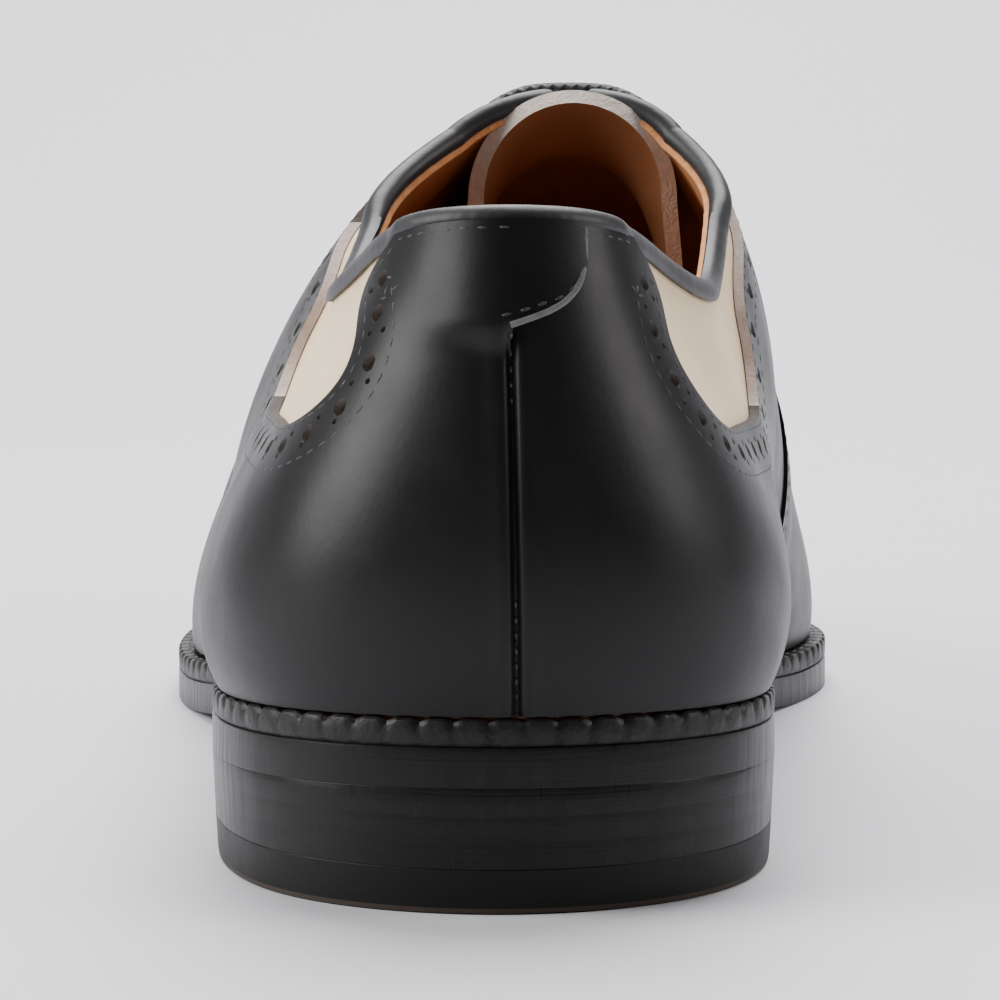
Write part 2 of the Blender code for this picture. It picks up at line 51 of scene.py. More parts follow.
# %% [markdown]
# ## The last
#
# A shoe is pulled over a last, a wooden foot. Its shape is told section by section: where the
# section meets the sole, where its upper edge lies, and how its side curves between the two. A
# closed cubic curve through each column of the tables carries the sections round the shoe.

# %% Tables of the last, in millimetres
PLAN = [
    # lateral x,     y, medial x,      y, welt
    (0.0, -38.0, 0.0, -38.0, 2.0),
    (-25.5, -27.0, 25.5, -27.0, 2.0),
    (-36.2, 0.0, 36.2, 0.0, 2.0),
    (-36.0, 32.0, 35.0, 32.0, 2.2),
    (-35.0, 60.0, 33.0, 58.0, 2.4),
    (-36.0, 82.0, 33.8, 79.0, 2.7),
    (-39.0, 104.0, 38.8, 100.0, 3.1),
    (-45.6, 128.0, 49.5, 122.0, 3.7),
    (-48.8, 155.0, 61.0, 149.0, 4.2),
    (-45.6, 186.0, 62.0, 180.0, 4.4),
    (-35.5, 217.0, 48.5, 216.0, 4.4),
    (-16.5, 249.0, 30.5, 251.0, 4.4),
    (9.0, 265.0, 9.0, 265.0, 4.4),
]
TOP_LINE = [
    # centre x,  y,    z, half width
    (0.6, -30.5, 81.5, 0.0),
    (0.9, -24.5, 80.6, 10.8),
    (1.8, -8.0, 76.4, 18.2),
    (4.4, 17.0, 71.8, 25.0),
    (8.6, 40.0, 81.8, 24.4),
    (11.8, 57.0, 92.8, 16.2),
    (13.2, 68.0, 98.0, 3.0),
    (12.5, 101.0, 86.5, 2.6),
    (11.0, 137.0, 69.0, 0.0),
    (9.5, 170.0, 54.0, 0.0),
    (8.8, 201.0, 46.5, 0.0),
    (8.8, 226.0, 43.0, 0.0),
    (9.0, 236.0, 41.2, 0.0),
]
SIDE_CURVE = [
    # lateral out, medial out, rise, lateral in, medial in, drop
    (6.0, 6.0, 18.0, 4.0, 4.0, 18.0),
    (7.5, 7.5, 18.0, 3.5, 3.5, 17.0),
    (9.5, 9.5, 18.0, 3.0, 3.0, 17.0),
    (9.5, 11.5, 18.0, 6.0, 5.0, 17.0),
    (9.0, 17.0, 21.0, 12.5, 5.0, 17.0),
    (9.5, 21.0, 24.0, 19.5, 12.0, 13.0),
    (7.0, 21.0, 26.0, 24.0, 24.0, 6.0),
    (4.0, 14.0, 26.0, 26.0, 27.0, 2.0),
    (3.0, 4.5, 23.0, 27.0, 27.0, 0.0),
    (2.5, 3.0, 18.0, 26.0, 26.0, 0.0),
    (2.5, 2.5, 16.0, 22.0, 22.0, 0.0),
    (2.5, 2.5, 16.0, 15.0, 15.0, 0.0),
    (2.5, 2.5, 16.0, 14.0, 14.0, 0.0),
]
SECTIONS = ["heel_back", "heel_corner", "heel_side", "heel_breast", "waist", "shank", "instep",
            "joint_rear", "ball", "ball_front", "cap_line", "toe_corner", "toe_tip"]
ROW = {name: index for index, name in enumerate(SECTIONS)}
LAST_ROW = len(SECTIONS) - 1
RING = 2 * LAST_ROW

# %% Curves that run round the shoe
def ring_values(table, lateral_column, medial_column):
    lateral = [row[lateral_column] for row in table]
    medial = [row[medial_column] for row in table]
    return np.array(lateral + medial[-2:0:-1], dtype=float)


def smooth_ring(values):
    """A closed cubic curve through the values, with no kink in slope or bend."""
    count = len(values)
    bends = 4.0 * np.eye(count) + np.roll(np.eye(count), 1, axis=1) + np.roll(np.eye(count), -1, axis=1)
    second = np.linalg.solve(bends, 6.0 * (np.roll(values, -1) - 2.0 * values + np.roll(values, 1)))

    def curve(u):
        low = np.floor(u).astype(int)
        f = u - low
        g = 1.0 - f
        low, high = low % count, (low + 1) % count
        bend = (g ** 3 - g) * second[low] + (f ** 3 - f) * second[high]
        return g * values[low] + f * values[high] + bend / 6.0

    return curve


def steady_ring(values):
    """A closed cubic curve through the values that never swings past them."""
    steps = np.roll(values, -1) - values
    before = np.roll(steps, 1)
    same_way = steps * before > 0.0
    total = np.where(same_way, steps + before, 1.0)
    slopes = np.where(same_way, 2.0 * steps * before / total, 0.0)
    count = len(values)

    def curve(u):
        low = np.floor(u).astype(int)
        f = u - low
        low, high = low % count, (low + 1) % count
        ease = f * f * (3.0 - 2.0 * f)
        bend = slopes[low] * f * (1.0 - f) ** 2 - slopes[high] * f * f * (1.0 - f)
        return values[low] + ease * (values[high] - values[low]) + bend

    return curve


edge_x = smooth_ring(ring_values(PLAN, 0, 2))
edge_y = smooth_ring(ring_values(PLAN, 1, 3))
welt_width = smooth_ring(ring_values(PLAN, 4, 4))
centre_x = smooth_ring(ring_values(TOP_LINE, 0, 0))
top_y = smooth_ring(ring_values(TOP_LINE, 1, 1))
top_z = smooth_ring(ring_values(TOP_LINE, 2, 2))
half_width = steady_ring(ring_values(TOP_LINE, 3, 3) * np.sign(np.arange(RING) - LAST_ROW + 0.5))
lower_out = smooth_ring(ring_values(SIDE_CURVE, 0, 1))
lower_rise = smooth_ring(ring_values(SIDE_CURVE, 2, 2))
upper_out = smooth_ring(ring_values(SIDE_CURVE, 3, 4))
upper_drop = smooth_ring(ring_values(SIDE_CURVE, 5, 5))

# %% The line of the sole
GAP = 0.3
TOP_PIECE = 5.5
OUTSOLE = 5.0
WELT = 3.0
HEEL_BACK_Y = -38.0
HEEL_BREAST_Y = 33.0
TOE_TIP_Y = 265.0
TREAD_START_Y = 140.0
TREAD_END_Y = 172.0
SEAT_BACK_Z = 15.3
SEAT_SLOPE = -0.04
TOE_SPRING = 11.0
RIDGE_END_ROWS = 0.35


def sole_bottom(y):
    """Height of the outsole's underside: heel seat, waist, flat tread and toe spring."""
    y = np.asarray(y, dtype=float)
    run = TREAD_START_Y - HEEL_BREAST_Y
    f = np.clip((y - HEEL_BREAST_Y) / run, 0.0, 1.0)
    start = SEAT_BACK_Z + SEAT_SLOPE * (HEEL_BREAST_Y - HEEL_BACK_Y)
    waist = start * (1.0 - f * f * (3.0 - 2.0 * f)) + SEAT_SLOPE * run * f * (1.0 - f) ** 2
    seat = SEAT_BACK_Z + SEAT_SLOPE * (y - HEEL_BACK_Y)
    spring = TOE_SPRING * (np.clip(y - TREAD_END_Y, 0.0, None) / (TOE_TIP_Y - TREAD_END_Y)) ** 2
    return np.where(y <= HEEL_BREAST_Y, seat, waist) + spring


def welt_top(y):
    return sole_bottom(y) + OUTSOLE + WELT + 2.0 * GAP


def ease(x):
    """A soft step from 0 to 1."""
    x = np.clip(x, 0.0, 1.0)
    return x * x * (3.0 - 2.0 * x)


def unit(vectors):
    length = np.linalg.norm(vectors, axis=-1, keepdims=True)
    return vectors / np.maximum(length, 1e-9)


def outward(u):
    """Level direction straight out from the sole's edge."""
    step = 0.01
    along_x = edge_x(u + step) - edge_x(u - step)
    along_y = edge_y(u + step) - edge_y(u - step)
    return unit(np.stack([-along_y, along_x, np.zeros_like(along_x)], axis=-1))


def sole_edge(u, inset=0.0):
    """Points of the sole's outline, moved in by some millimetres, at height zero."""
    flat = np.stack([edge_x(u), edge_y(u), np.zeros_like(u)], axis=-1)
    return flat - outward(u) * np.reshape(inset, np.shape(inset) + (1,))


# %% Any point of the last
def skin_at(u, v):
    """The last's surface: u runs round the perimeter, v from the welt (0) to the top line (1)."""
    u, v = np.broadcast_arrays(np.asarray(u, dtype=float), np.asarray(v, dtype=float))
    out = outward(u)
    foot = sole_edge(u, welt_width(u))
    foot[..., 2] = welt_top(foot[..., 1]) + GAP
    top = np.stack([centre_x(u) + half_width(u), top_y(u), top_z(u)], axis=-1)
    turn = u % RING
    row = np.where(turn <= LAST_ROW, turn, RING - turn)
    at = np.minimum(row, LAST_ROW - RIDGE_END_ROWS)
    forward = top_y(at + 0.02) - top_y(at - 0.02)
    slope = (top_z(at + 0.02) - top_z(at - 0.02)) / np.where(np.abs(forward) > 1e-4, forward, 1.0)
    lean = np.clip(row - ROW["shank"], 0.0, 1.0) * slope * out[..., 1]
    up = np.array([0.0, 0.0, 1.0])
    low_handle = foot + lower_out(u)[..., None] * out + lower_rise(u)[..., None] * up
    high_handle = top + upper_out(u)[..., None] * (out + lean[..., None] * up)
    high_handle = high_handle - upper_drop(u)[..., None] * up
    t = v[..., None]
    w = 1.0 - t
    return w ** 3 * foot + 3 * w * w * t * low_handle + 3 * w * t * t * high_handle + t ** 3 * top


def one_sided_normal(u, v):
    step = 0.01
    v = np.clip(v, step, 1.0 - step)
    along = skin_at(u + step, v) - skin_at(u - step, v)
    up = skin_at(u, v + step) - skin_at(u, v - step)
    return unit(np.cross(up, along))


def skin_normal(u, v):
    """Direction out of the last; the two sides agree along the ridge over the toes."""
    u, v = np.broadcast_arrays(np.asarray(u, dtype=float), np.asarray(v, dtype=float))
    row = np.minimum(u % RING, RING - u % RING)
    share = 0.5 * ease((v - 0.9) / 0.1) * ease((row - ROW["ball"] + 0.1) / 0.1)
    share = share[..., None]
    return unit(one_sided_normal(u, v) * (1.0 - share) + one_sided_normal(-u, v) * share)


def lifted(u, v, lift):
    """A point that lies some millimetres off the last."""
    u, v, lift = np.broadcast_arrays(*(np.asarray(item, dtype=float) for item in (u, v, lift)))
    return skin_at(u, v) + skin_normal(u, v) * lift[..., None]


def off_the_edge(u):
    """Direction in the leather's own plane, square to its top edge and away from it."""
    along = skin_at(u + 0.02, 1.0) - skin_at(u - 0.02, 1.0)
    square = unit(np.cross(along, skin_normal(u, 0.99)))
    rising = np.sum(square * (skin_at(u, 1.0) - skin_at(u, 0.95)), axis=-1, keepdims=True)
    return square * np.sign(rising)


# %% [markdown]
# ## Helpers for sheets
#
# Leather is a sheet, so most pieces start from Blender's grid. Each grid point has a place from
# 0 to 1 in both directions, and a rule moves it to the last. Solidify then gives the sheet its
# thickness. This way a piece follows the last exactly, whatever its outline.

# %% A grid moved by a rule
CORE = Vector((5.0, 110.0, 30.0)) * MM


def shaped_grid(columns, rows, place, uv_size=(1.0, 1.0)):
    """Blender's grid with its points at place(i, j), and its own i and j kept as the UV map."""
    bm = bmesh.new()
    bmesh.ops.create_grid(bm, x_segments=columns, y_segments=rows, size=0.5)
    flat = np.array([vert.co[:2] for vert in bm.verts]) + 0.5
    for vert, spot in zip(bm.verts, place(flat[:, 0], flat[:, 1]) * MM):
        vert.co = spot
    bm.verts.index_update()
    uv = bm.loops.layers.uv.new("UVMap")
    for face in bm.faces:
        for loop in face.loops:
            loop[uv].uv = flat[loop.vert.index] * uv_size
    return bm


def face_outwards(bm, core=CORE):
    """Turns an open sheet's faces away from a point inside the shoe."""
    bm.normal_update()
    away = sum(face.normal.dot(face.calc_center_median() - core) * face.calc_area() for face in bm.faces)
    if away < 0.0:
        bmesh.ops.reverse_faces(bm, faces=bm.faces)


def weld(bm, distance=0.02):
    bmesh.ops.remove_doubles(bm, verts=bm.verts, dist=distance * MM)


def add_points(bm, points):
    """New vertices at points given in millimetres."""
    return [bm.verts.new(Vector(point) * MM) for point in points]


def join_rings(bm, rings, around=True, through=False):
    """Faces between rings; around closes each ring, through joins the last ring to the first."""
    count = len(rings[0])
    for one, other in zip(rings, rings[1:] + (rings[:1] if through else [])):
        for k in range(count if around else count - 1):
            n = (k + 1) % count
            bm.faces.new((one[k], one[n], other[n], other[k]))


def mesh_of(name, bm):
    mesh = bpy.data.meshes.new(name)
    bm.to_mesh(mesh)
    bm.free()
    return mesh


def close_and_turn(bm):
    """Caps the open ends of a closed shape and points its faces outwards."""
    rims = [edge for edge in bm.edges if edge.is_boundary]
    if rims:
        bmesh.ops.holes_fill(bm, edges=rims, sides=0)
    bmesh.ops.recalc_face_normals(bm, faces=bm.faces)


# %% Making objects of them
made = []


def make_piece(name, bm, materials, nodes=(), smooth=40.0):
    """A piece of the shoe: its mesh, its finish and the solids that it stands for."""
    mesh = mesh_of(name, bm)
    mesh.shade_smooth()
    mesh.set_sharp_from_angle(angle=math.radians(smooth))
    for finish in materials:
        mesh.materials.append(finish)
    item = bpy.data.objects.new(name, mesh)
    bpy.context.scene.collection.objects.link(item)
    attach(item, "root")
    if nodes:
        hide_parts(*nodes)
    made.append(item)
    return item


def give_wall(item, thickness, outwards=False, rim=0):
    """Thickness in millimetres; rim counts the places down to the rim's own material."""
    wall = item.modifiers.new("wall", "SOLIDIFY")
    wall.thickness = thickness * MM
    wall.offset = 1.0 if outwards else -1.0
    wall.material_offset_rim = rim


def bake_modifiers(item):
    """Puts what the modifiers make into the mesh itself."""
    bpy.context.view_layer.update()
    depsgraph = bpy.context.evaluated_depsgraph_get()
    mesh = bpy.data.meshes.new_from_object(item.evaluated_get(depsgraph), preserve_all_data_layers=True,
                                           depsgraph=depsgraph)
    plain = item.data
    item.modifiers.clear()
    item.data = mesh
    bpy.data.meshes.remove(plain)
    mesh.name = item.name


def soften(item, angle=40.0):
    item.data.shade_smooth()
    item.data.set_sharp_from_angle(angle=math.radians(angle))


# %% [markdown]
# ## Finding places on the last
#
# Stitches and punched holes follow the edge of a piece at a steady distance. A search tree of the
# last's surface gives, for any point, the nearest place on the leather and the way that it faces,
# so a row can be stepped sideways along the surface and spaced by its real length.

# %% Search tree of the last
TREE_COLUMNS = 720
TREE_ROWS = 90
tree_u = np.arange(TREE_COLUMNS) * RING / TREE_COLUMNS
tree_v = np.linspace(0.0, 1.0, TREE_ROWS + 1)
tree_points = skin_at(tree_u[:, None], tree_v[None, :]).reshape(-1, 3)
tree_faces = []
for i in range(TREE_COLUMNS):
    here = i * (TREE_ROWS + 1)
    there = (i + 1) % TREE_COLUMNS * (TREE_ROWS + 1)
    tree_faces += [(here + j, here + j + 1, there + j + 1, there + j) for j in range(TREE_ROWS)]
skin_tree = BVHTree.FromPolygons(tree_points.tolist(), tree_faces)


def settle(points):
    """The nearest places on the last, and the direction out of it at each."""
    found = [skin_tree.find_nearest(Vector(point)) for point in points]
    return np.array([hit[0][:] for hit in found]), np.array([hit[1][:] for hit in found])


def from_the_side(outline, side):
    """Where points given as y and z lie on the last, seen from one side; misses are left out."""
    hits = [skin_tree.ray_cast(Vector((side * 120.0, y, z)), Vector((-side, 0.0, 0.0)))
            for y, z in outline]
    return np.array([hit[0][:] for hit in hits if hit[0] is not None])


def spaced(points, pitch, start=0.0):
    """The points of a line at even steps of its length."""
    legs = np.linalg.norm(np.diff(points, axis=0), axis=1)
    travelled = np.concatenate([[0.0], np.cumsum(legs)])
    at = np.arange(start, travelled[-1] + 1e-6, pitch)
    return np.stack([np.interp(at, travelled, points[:, k]) for k in range(3)], axis=-1)


def beside(points, distance):
    """A line moved sideways along the last; positive goes to the left of its own direction."""
    points, normals = settle(points)
    ahead = unit(np.gradient(points, axis=0))
    return settle(points + np.cross(normals, ahead) * distance)[0]


print("search tree:", len(tree_faces), "faces")

# %% [markdown]
# ## Finishes
#
# Calf leather has fine pores and a soft mottle; a polish lies over it like a thin clear coat. The
# pores and the mottle are wanted on every leather here, so they are one node group with its own
# sizes, and each leather sets how strong it is.

# %% A node group for leather grain
def new_group(name, inputs, outputs):
    group = bpy.data.node_groups.new(name, "ShaderNodeTree")
    for title, kind, value in inputs:
        socket = group.interface.new_socket(title, in_out="INPUT", socket_type=kind)
        if value is not None:
            socket.default_value = value
    for title, kind in outputs:
        group.interface.new_socket(title, in_out="OUTPUT", socket_type=kind)
    return group


def node(tree, kind, **settings):
    item = tree.nodes.new(kind)
    for key, value in settings.items():
        if isinstance(key, str) and key in item.inputs:
            item.inputs[key].default_value = value
        else:
            setattr(item, key, value)
    return item


def math_node(tree, operation, first, second=None):
    item = tree.nodes.new("ShaderNodeMath")
    item.operation = operation
    for index, value in enumerate((first, second)):
        if value is None:
            continue
        if isinstance(value, (int, float)):
            item.inputs[index].default_value = value
        else:
            tree.links.new(value, item.inputs[index])
    return item.outputs[0]


leather_grain = new_group("leather_grain",
                          [("Vector", "NodeSocketVector", None), ("Pores", "NodeSocketFloat", 1400.0),
                           ("Mottle", "NodeSocketFloat", 90.0)],
                          [("Height", "NodeSocketFloat"), ("Patches", "NodeSocketFloat")])
inside = leather_grain.nodes.new("NodeGroupInput")
result = leather_grain.nodes.new("NodeGroupOutput")
pores = node(leather_grain, "ShaderNodeTexVoronoi", feature="SMOOTH_F1", Smoothness=0.6)
creases = node(leather_grain, "ShaderNodeTexNoise", Detail=4.0, Roughness=0.6)
patches = node(leather_grain, "ShaderNodeTexNoise", Detail=3.0, Roughness=0.55)
for texture in (pores, creases, patches):
    leather_grain.links.new(inside.outputs["Vector"], texture.inputs["Vector"])
leather_grain.links.new(inside.outputs["Pores"], pores.inputs["Scale"])
crease_scale = math_node(leather_grain, "MULTIPLY", inside.outputs["Pores"], 0.35)
leather_grain.links.new(crease_scale, creases.inputs["Scale"])
leather_grain.links.new(inside.outputs["Mottle"], patches.inputs["Scale"])
pore_height = math_node(leather_grain, "MULTIPLY", pores.outputs["Distance"], 0.5)
crease_height = math_node(leather_grain, "MULTIPLY", creases.outputs["Fac"], 0.8)
height = math_node(leather_grain, "ADD", pore_height, crease_height)
leather_grain.links.new(height, result.inputs["Height"])
leather_grain.links.new(patches.outputs["Fac"], result.inputs["Patches"])
print("group:", leather_grain.name, "with", len(leather_grain.nodes), "nodes")


# %% A leather made with that group
def mixed(tree, factor, dark, light):
    blend = tree.nodes.new("ShaderNodeMix")
    blend.data_type = "RGBA"
    tree.links.new(factor, blend.inputs[0])
    blend.inputs[6].default_value = (*dark, 1.0)
    blend.inputs[7].default_value = (*light, 1.0)
    return blend.outputs[2]


def spread(tree, value, low, high, new_low, new_high):
    item = node(tree, "ShaderNodeMapRange")
    item.inputs["From Min"].default_value = low
    item.inputs["From Max"].default_value = high
    item.inputs["To Min"].default_value = new_low
    item.inputs["To Max"].default_value = new_high
    tree.links.new(value, item.inputs["Value"])
    return item.outputs["Result"]


def blank_finish(name):
    finish = bpy.data.materials.new(name)
    finish.use_nodes = True
    shader = finish.node_tree.nodes["Principled BSDF"]
    place = finish.node_tree.nodes.new("ShaderNodeTexCoord")
    return finish, finish.node_tree, shader, place


def leather(name, dark, light, roughness, pores=1400.0, mottle=90.0, grain=0.25, coat=0.0,
            coat_roughness=0.2, sheen=0.0, shine=0.5):
    finish, tree, shader, place = blank_finish(name)
    grain_node = tree.nodes.new("ShaderNodeGroup")
    grain_node.node_tree = leather_grain
    grain_node.inputs["Pores"].default_value = pores
    grain_node.inputs["Mottle"].default_value = mottle
    tree.links.new(place.outputs["Object"], grain_node.inputs["Vector"])
    patches_out = grain_node.outputs["Patches"]
    tree.links.new(mixed(tree, patches_out, dark, light), shader.inputs["Base Color"])
    tree.links.new(spread(tree, patches_out, 0.3, 0.7, *roughness), shader.inputs["Roughness"])
    bump = node(tree, "ShaderNodeBump", Strength=grain, Distance=0.0002)
    tree.links.new(grain_node.outputs["Height"], bump.inputs["Height"])
    tree.links.new(bump.outputs["Normal"], shader.inputs["Normal"])
    shader.inputs["Coat Weight"].default_value = coat
    shader.inputs["Coat Roughness"].default_value = coat_roughness
    shader.inputs["Sheen Weight"].default_value = sheen
    shader.inputs["Specular IOR Level"].default_value = shine
    return finish


black_calf = leather("black_calf", (0.0040, 0.0038, 0.0042), (0.0075, 0.0070, 0.0074), (0.36, 0.46),
                     grain=0.10, coat=0.04, coat_roughness=0.25, shine=0.20)
cream_calf = leather("cream_calf", (0.76, 0.57, 0.345), (0.84, 0.66, 0.43), (0.42, 0.52), grain=0.12,
                     coat=0.03)
binding_calf = leather("binding_calf", (0.018, 0.018, 0.020), (0.028, 0.028, 0.031), (0.42, 0.52),
                       grain=0.16, shine=0.3)
tan_lining = leather("tan_lining", (0.36, 0.145, 0.055), (0.48, 0.205, 0.085), (0.55, 0.66), grain=0.2)
# A darker copy of the tan lining for the tongue's inner face: painted shade for the shadow deep in the
# collar.
tongue_lining_painted_shade = leather("tongue_lining_painted_shade", (0.17, 0.062, 0.022), (0.27, 0.105, 0.040), (0.50, 0.62),
                        mottle=160.0, grain=0.25)
raw_edge = leather("raw_edge", (0.34, 0.26, 0.23), (0.60, 0.50, 0.46), (0.80, 0.95), pores=2600.0,
                   mottle=420.0, grain=0.8)
dark_edge = leather("dark_edge", (0.012, 0.008, 0.007), (0.040, 0.022, 0.016), (0.70, 0.85),
                    pores=2600.0, mottle=500.0, grain=0.7)
tan_edge = leather("tan_edge", (0.50, 0.20, 0.07), (0.80, 0.38, 0.16), (0.85, 0.95), pores=2200.0,
                   mottle=700.0, grain=1.0)
grey_edge = leather("grey_edge", (0.050, 0.048, 0.048), (0.16, 0.15, 0.15), (0.60, 0.75), pores=2600.0,
                    mottle=700.0, grain=0.8)
tongue_edge = leather("tongue_edge", (0.50, 0.43, 0.375), (0.76, 0.68, 0.60), (0.90, 1.0),
                      pores=2400.0, mottle=600.0, grain=1.0, sheen=0.3)
welt_leather = leather("welt_leather", (0.006, 0.0055, 0.0055), (0.015, 0.014, 0.0135), (0.36, 0.55),
                       pores=1500.0, mottle=300.0, grain=0.5, shine=0.22)
rubber = leather("black_rubber", (0.006, 0.006, 0.006), (0.011, 0.0105, 0.0105), (0.42, 0.52),
                 pores=2500.0, grain=0.2, shine=0.15)
brown_rubber = leather("brown_rubber", (0.020, 0.011, 0.007), (0.040, 0.022, 0.013), (0.6, 0.7),
                       pores=2500.0, grain=0.2)
thread = leather("waxed_thread", (0.006, 0.006, 0.0065), (0.020, 0.020, 0.022), (0.38, 0.55),
                 pores=4000.0, mottle=900.0, grain=0.6)
print("leathers:", len(bpy.data.materials))

# %% [markdown]
# The edges of sole and heel are stained black, waxed and burnished against a wheel. That leaves
# faint lines along the layers and short scratches across them, which a stretched noise gives.

# %% Burnished edges
def burnished(name, dark, light):
    finish, tree, shader, place = blank_finish(name)
    lines = node(tree, "ShaderNodeTexNoise", Scale=1.0, Detail=3.0, Roughness=0.6)
    flat_lines = node(tree, "ShaderNodeMapping")
    flat_lines.inputs["Scale"].default_value = (40.0, 40.0, 1800.0)
    tree.links.new(place.outputs["Object"], flat_lines.inputs["Vector"])
    tree.links.new(flat_lines.outputs["Vector"], lines.inputs["Vector"])
    scratches = node(tree, "ShaderNodeTexNoise", Scale=1.0, Detail=2.0, Roughness=0.7)
    upright = node(tree, "ShaderNodeMapping")
    upright.inputs["Scale"].default_value = (900.0, 900.0, 60.0)
    tree.links.new(place.outputs["Object"], upright.inputs["Vector"])
    tree.links.new(upright.outputs["Vector"], scratches.inputs["Vector"])
    both = math_node(tree, "ADD", lines.outputs["Fac"],
                     math_node(tree, "MULTIPLY", scratches.outputs["Fac"], 0.35))
    bump = node(tree, "ShaderNodeBump", Strength=0.18, Distance=0.00025)
    tree.links.new(both, bump.inputs["Height"])
    tree.links.new(bump.outputs["Normal"], shader.inputs["Normal"])
    tree.links.new(mixed(tree, lines.outputs["Fac"], dark, light), shader.inputs["Base Color"])
    tree.links.new(spread(tree, scratches.outputs["Fac"], 0.3, 0.7, 0.26, 0.42),
                   shader.inputs["Roughness"])
    shader.inputs["Specular IOR Level"].default_value = 0.18
    return finish


edge_dressing = burnished("edge_dressing", (0.004, 0.004, 0.004), (0.009, 0.0085, 0.0085))

# %% [markdown]
# A lace is a braid of fine cotton threads. Two sets of slanting bands, read from the lace's own UV
# map, cross each other and give the plaited look at any bend.

# %% Braided cotton
def braid(name, dark, light, along, around):
    finish, tree, shader, place = blank_finish(name)
    parts = node(tree, "ShaderNodeSeparateXYZ")
    tree.links.new(place.outputs["UV"], parts.inputs["Vector"])
    ahead = math_node(tree, "MULTIPLY", parts.outputs["X"], along)
    across = math_node(tree, "MULTIPLY", parts.outputs["Y"], around * math.tau)
    one = math_node(tree, "SINE", math_node(tree, "ADD", ahead, across))
    other = math_node(tree, "SINE", math_node(tree, "SUBTRACT", ahead, across))
    weave = math_node(tree, "MAXIMUM", one, other)
    bump = node(tree, "ShaderNodeBump", Strength=0.9, Distance=0.00025)
    tree.links.new(weave, bump.inputs["Height"])
    tree.links.new(bump.outputs["Normal"], shader.inputs["Normal"])
    # The weave's grooves are coloured darker and its crowns lighter: painted shade in the grooves and
    # painted highlight on the crowns.
    tree.links.new(mixed(tree, spread(tree, weave, -0.2, 1.0, 0.0, 1.0), dark, light),
                   shader.inputs["Base Color"])
    shader.inputs["Roughness"].default_value = 0.62
    shader.inputs["Sheen Weight"].default_value = 0.25
    return finish


lace_cotton = braid("lace_cotton", (0.004, 0.004, 0.004), (0.018, 0.018, 0.020), 3.6, 3.0)
print("finishes:", len(bpy.data.materials))

# %% [markdown]
# ## The lining and the cream quarters
#
# The tan lining is the sheet that the foot touches. Its raw top edge stands a little above the
# binding. Outside it lies the cream calf, which shows only through the two windows of the black
# quarters, but runs on beneath them so that the punched holes look down on it.

# %% Layers over the last, in millimetres
LINING_OUT = -0.9
LINING = 1.1
CREAM_OUT = 0.0
CREAM = 0.8
CREAM_END_ROW = 5.9
CREAM_LOW_V = 0.3
CREAM_HIGH_V = 1.008
QUARTER_OUT = 1.45
QUARTER = 1.3
VAMP_OUT = 1.6
CAP_OUT = 1.75
STEP_UP = 0.45
VAMP = 0.6
BEYOND_SCALE = 100.0


def past_the_top(u, v, lift):
    """A point off the last; v above 1 goes on past the collar's edge, 0.01 for a millimetre."""
    past = np.clip(v - 1.0, 0.0, None) * BEYOND_SCALE
    return lifted(u, np.minimum(v, 1.0), lift) + off_the_edge(u) * past[..., None]


def lining_place(i, j):
    u = RING * i
    row = np.minimum(u, RING - u)
    collar = ease((ROW["instep"] - 0.1 - row) / 0.25)
    ragged = 0.12 * np.sin(u * 61.0) * np.sin(u * 23.0 + 1.0)
    v = j * (1.0 + collar * (0.016 + 0.01 * ragged))
    return past_the_top(u, v, LINING_OUT - 0.9 * ease((v - 1.0) / 0.012) * 0.3)


bm = shaped_grid(480, 60, lining_place)
weld(bm)
face_outwards(bm)
lining = make_piece("lining", bm, [tan_lining, tan_edge])
give_wall(lining, LINING, rim=1)
bake_modifiers(lining)


def cream_place(i, j):
    u = CREAM_END_ROW * (2.0 * i - 1.0)
    return past_the_top(u, CREAM_LOW_V + (CREAM_HIGH_V - CREAM_LOW_V) * j, CREAM_OUT)


bm = shaped_grid(300, 60, cream_place)
face_outwards(bm)
cream = make_piece("cream_quarters", bm, [cream_calf, raw_edge], ["upper"])
give_wall(cream, CREAM, rim=1)
bake_modifiers(cream)
print("lining and cream:", len(lining.data.polygons), len(cream.data.polygons), "faces")

# %% [markdown]
# ## Window, holes and stitch lines
#
# Each black quarter is cut out in a soft U over the ankle. A row of large punched holes follows
# the cut, with a pair of small holes between each two, and a stitch line runs on either side of
# them. All are laid out from the window's own edge.

# %% The window's edge on the last
WINDOW = [
    # lateral y,   z, medial y,    z
    (-17.5, 90.0, -15.0, 90.0),
    (-18.2, 77.0, -16.8, 77.0),
    (-20.8, 69.0, -18.6, 68.5),
    (-22.4, 62.0, -18.4, 61.7),
    (-13.0, 57.0, -11.5, 56.5),
    (3.0, 56.6, 4.0, 55.6),
    (19.0, 56.8, 19.0, 55.8),
    (29.5, 60.0, 27.5, 59.0),
    (34.0, 66.5, 32.0, 65.5),
    (39.5, 75.5, 37.5, 74.5),
    (48.0, 92.0, 46.0, 92.0),
]
WINDOW_CLEAR_TOP_Z = 110.0
WINDOW_FRONT_Y = (0.024, 0.048)
WINDOW_FRONT_Z = 0.05
HOLE_PITCH = 6.7
HOLE_ROWS = [
    # distance from the window, start as share of the pitch, radius, sides
    (3.9, 0.42, 1.2, 18),
    (2.6, 0.92, 0.45, 8),
    (5.2, 0.92, 0.45, 8),
]


def window_outline(side, steps_per_row):
    first = 0 if side < 0 else 2
    y_at = smooth_ring(np.array([row[first] for row in WINDOW]))
    z_at = smooth_ring(np.array([row[first + 1] for row in WINDOW]))
    steps = np.linspace(0.0, len(WINDOW) - 1.0, (len(WINDOW) - 1) * steps_per_row + 1)
    return np.stack([y_at(steps), z_at(steps)], axis=-1)


window_line = {side: spaced(from_the_side(window_outline(side, 24), side), 0.5) for side in (-1, 1)}
for side, line in window_line.items():
    print("window", side, "edge length", round(0.5 * len(line)), "mm")


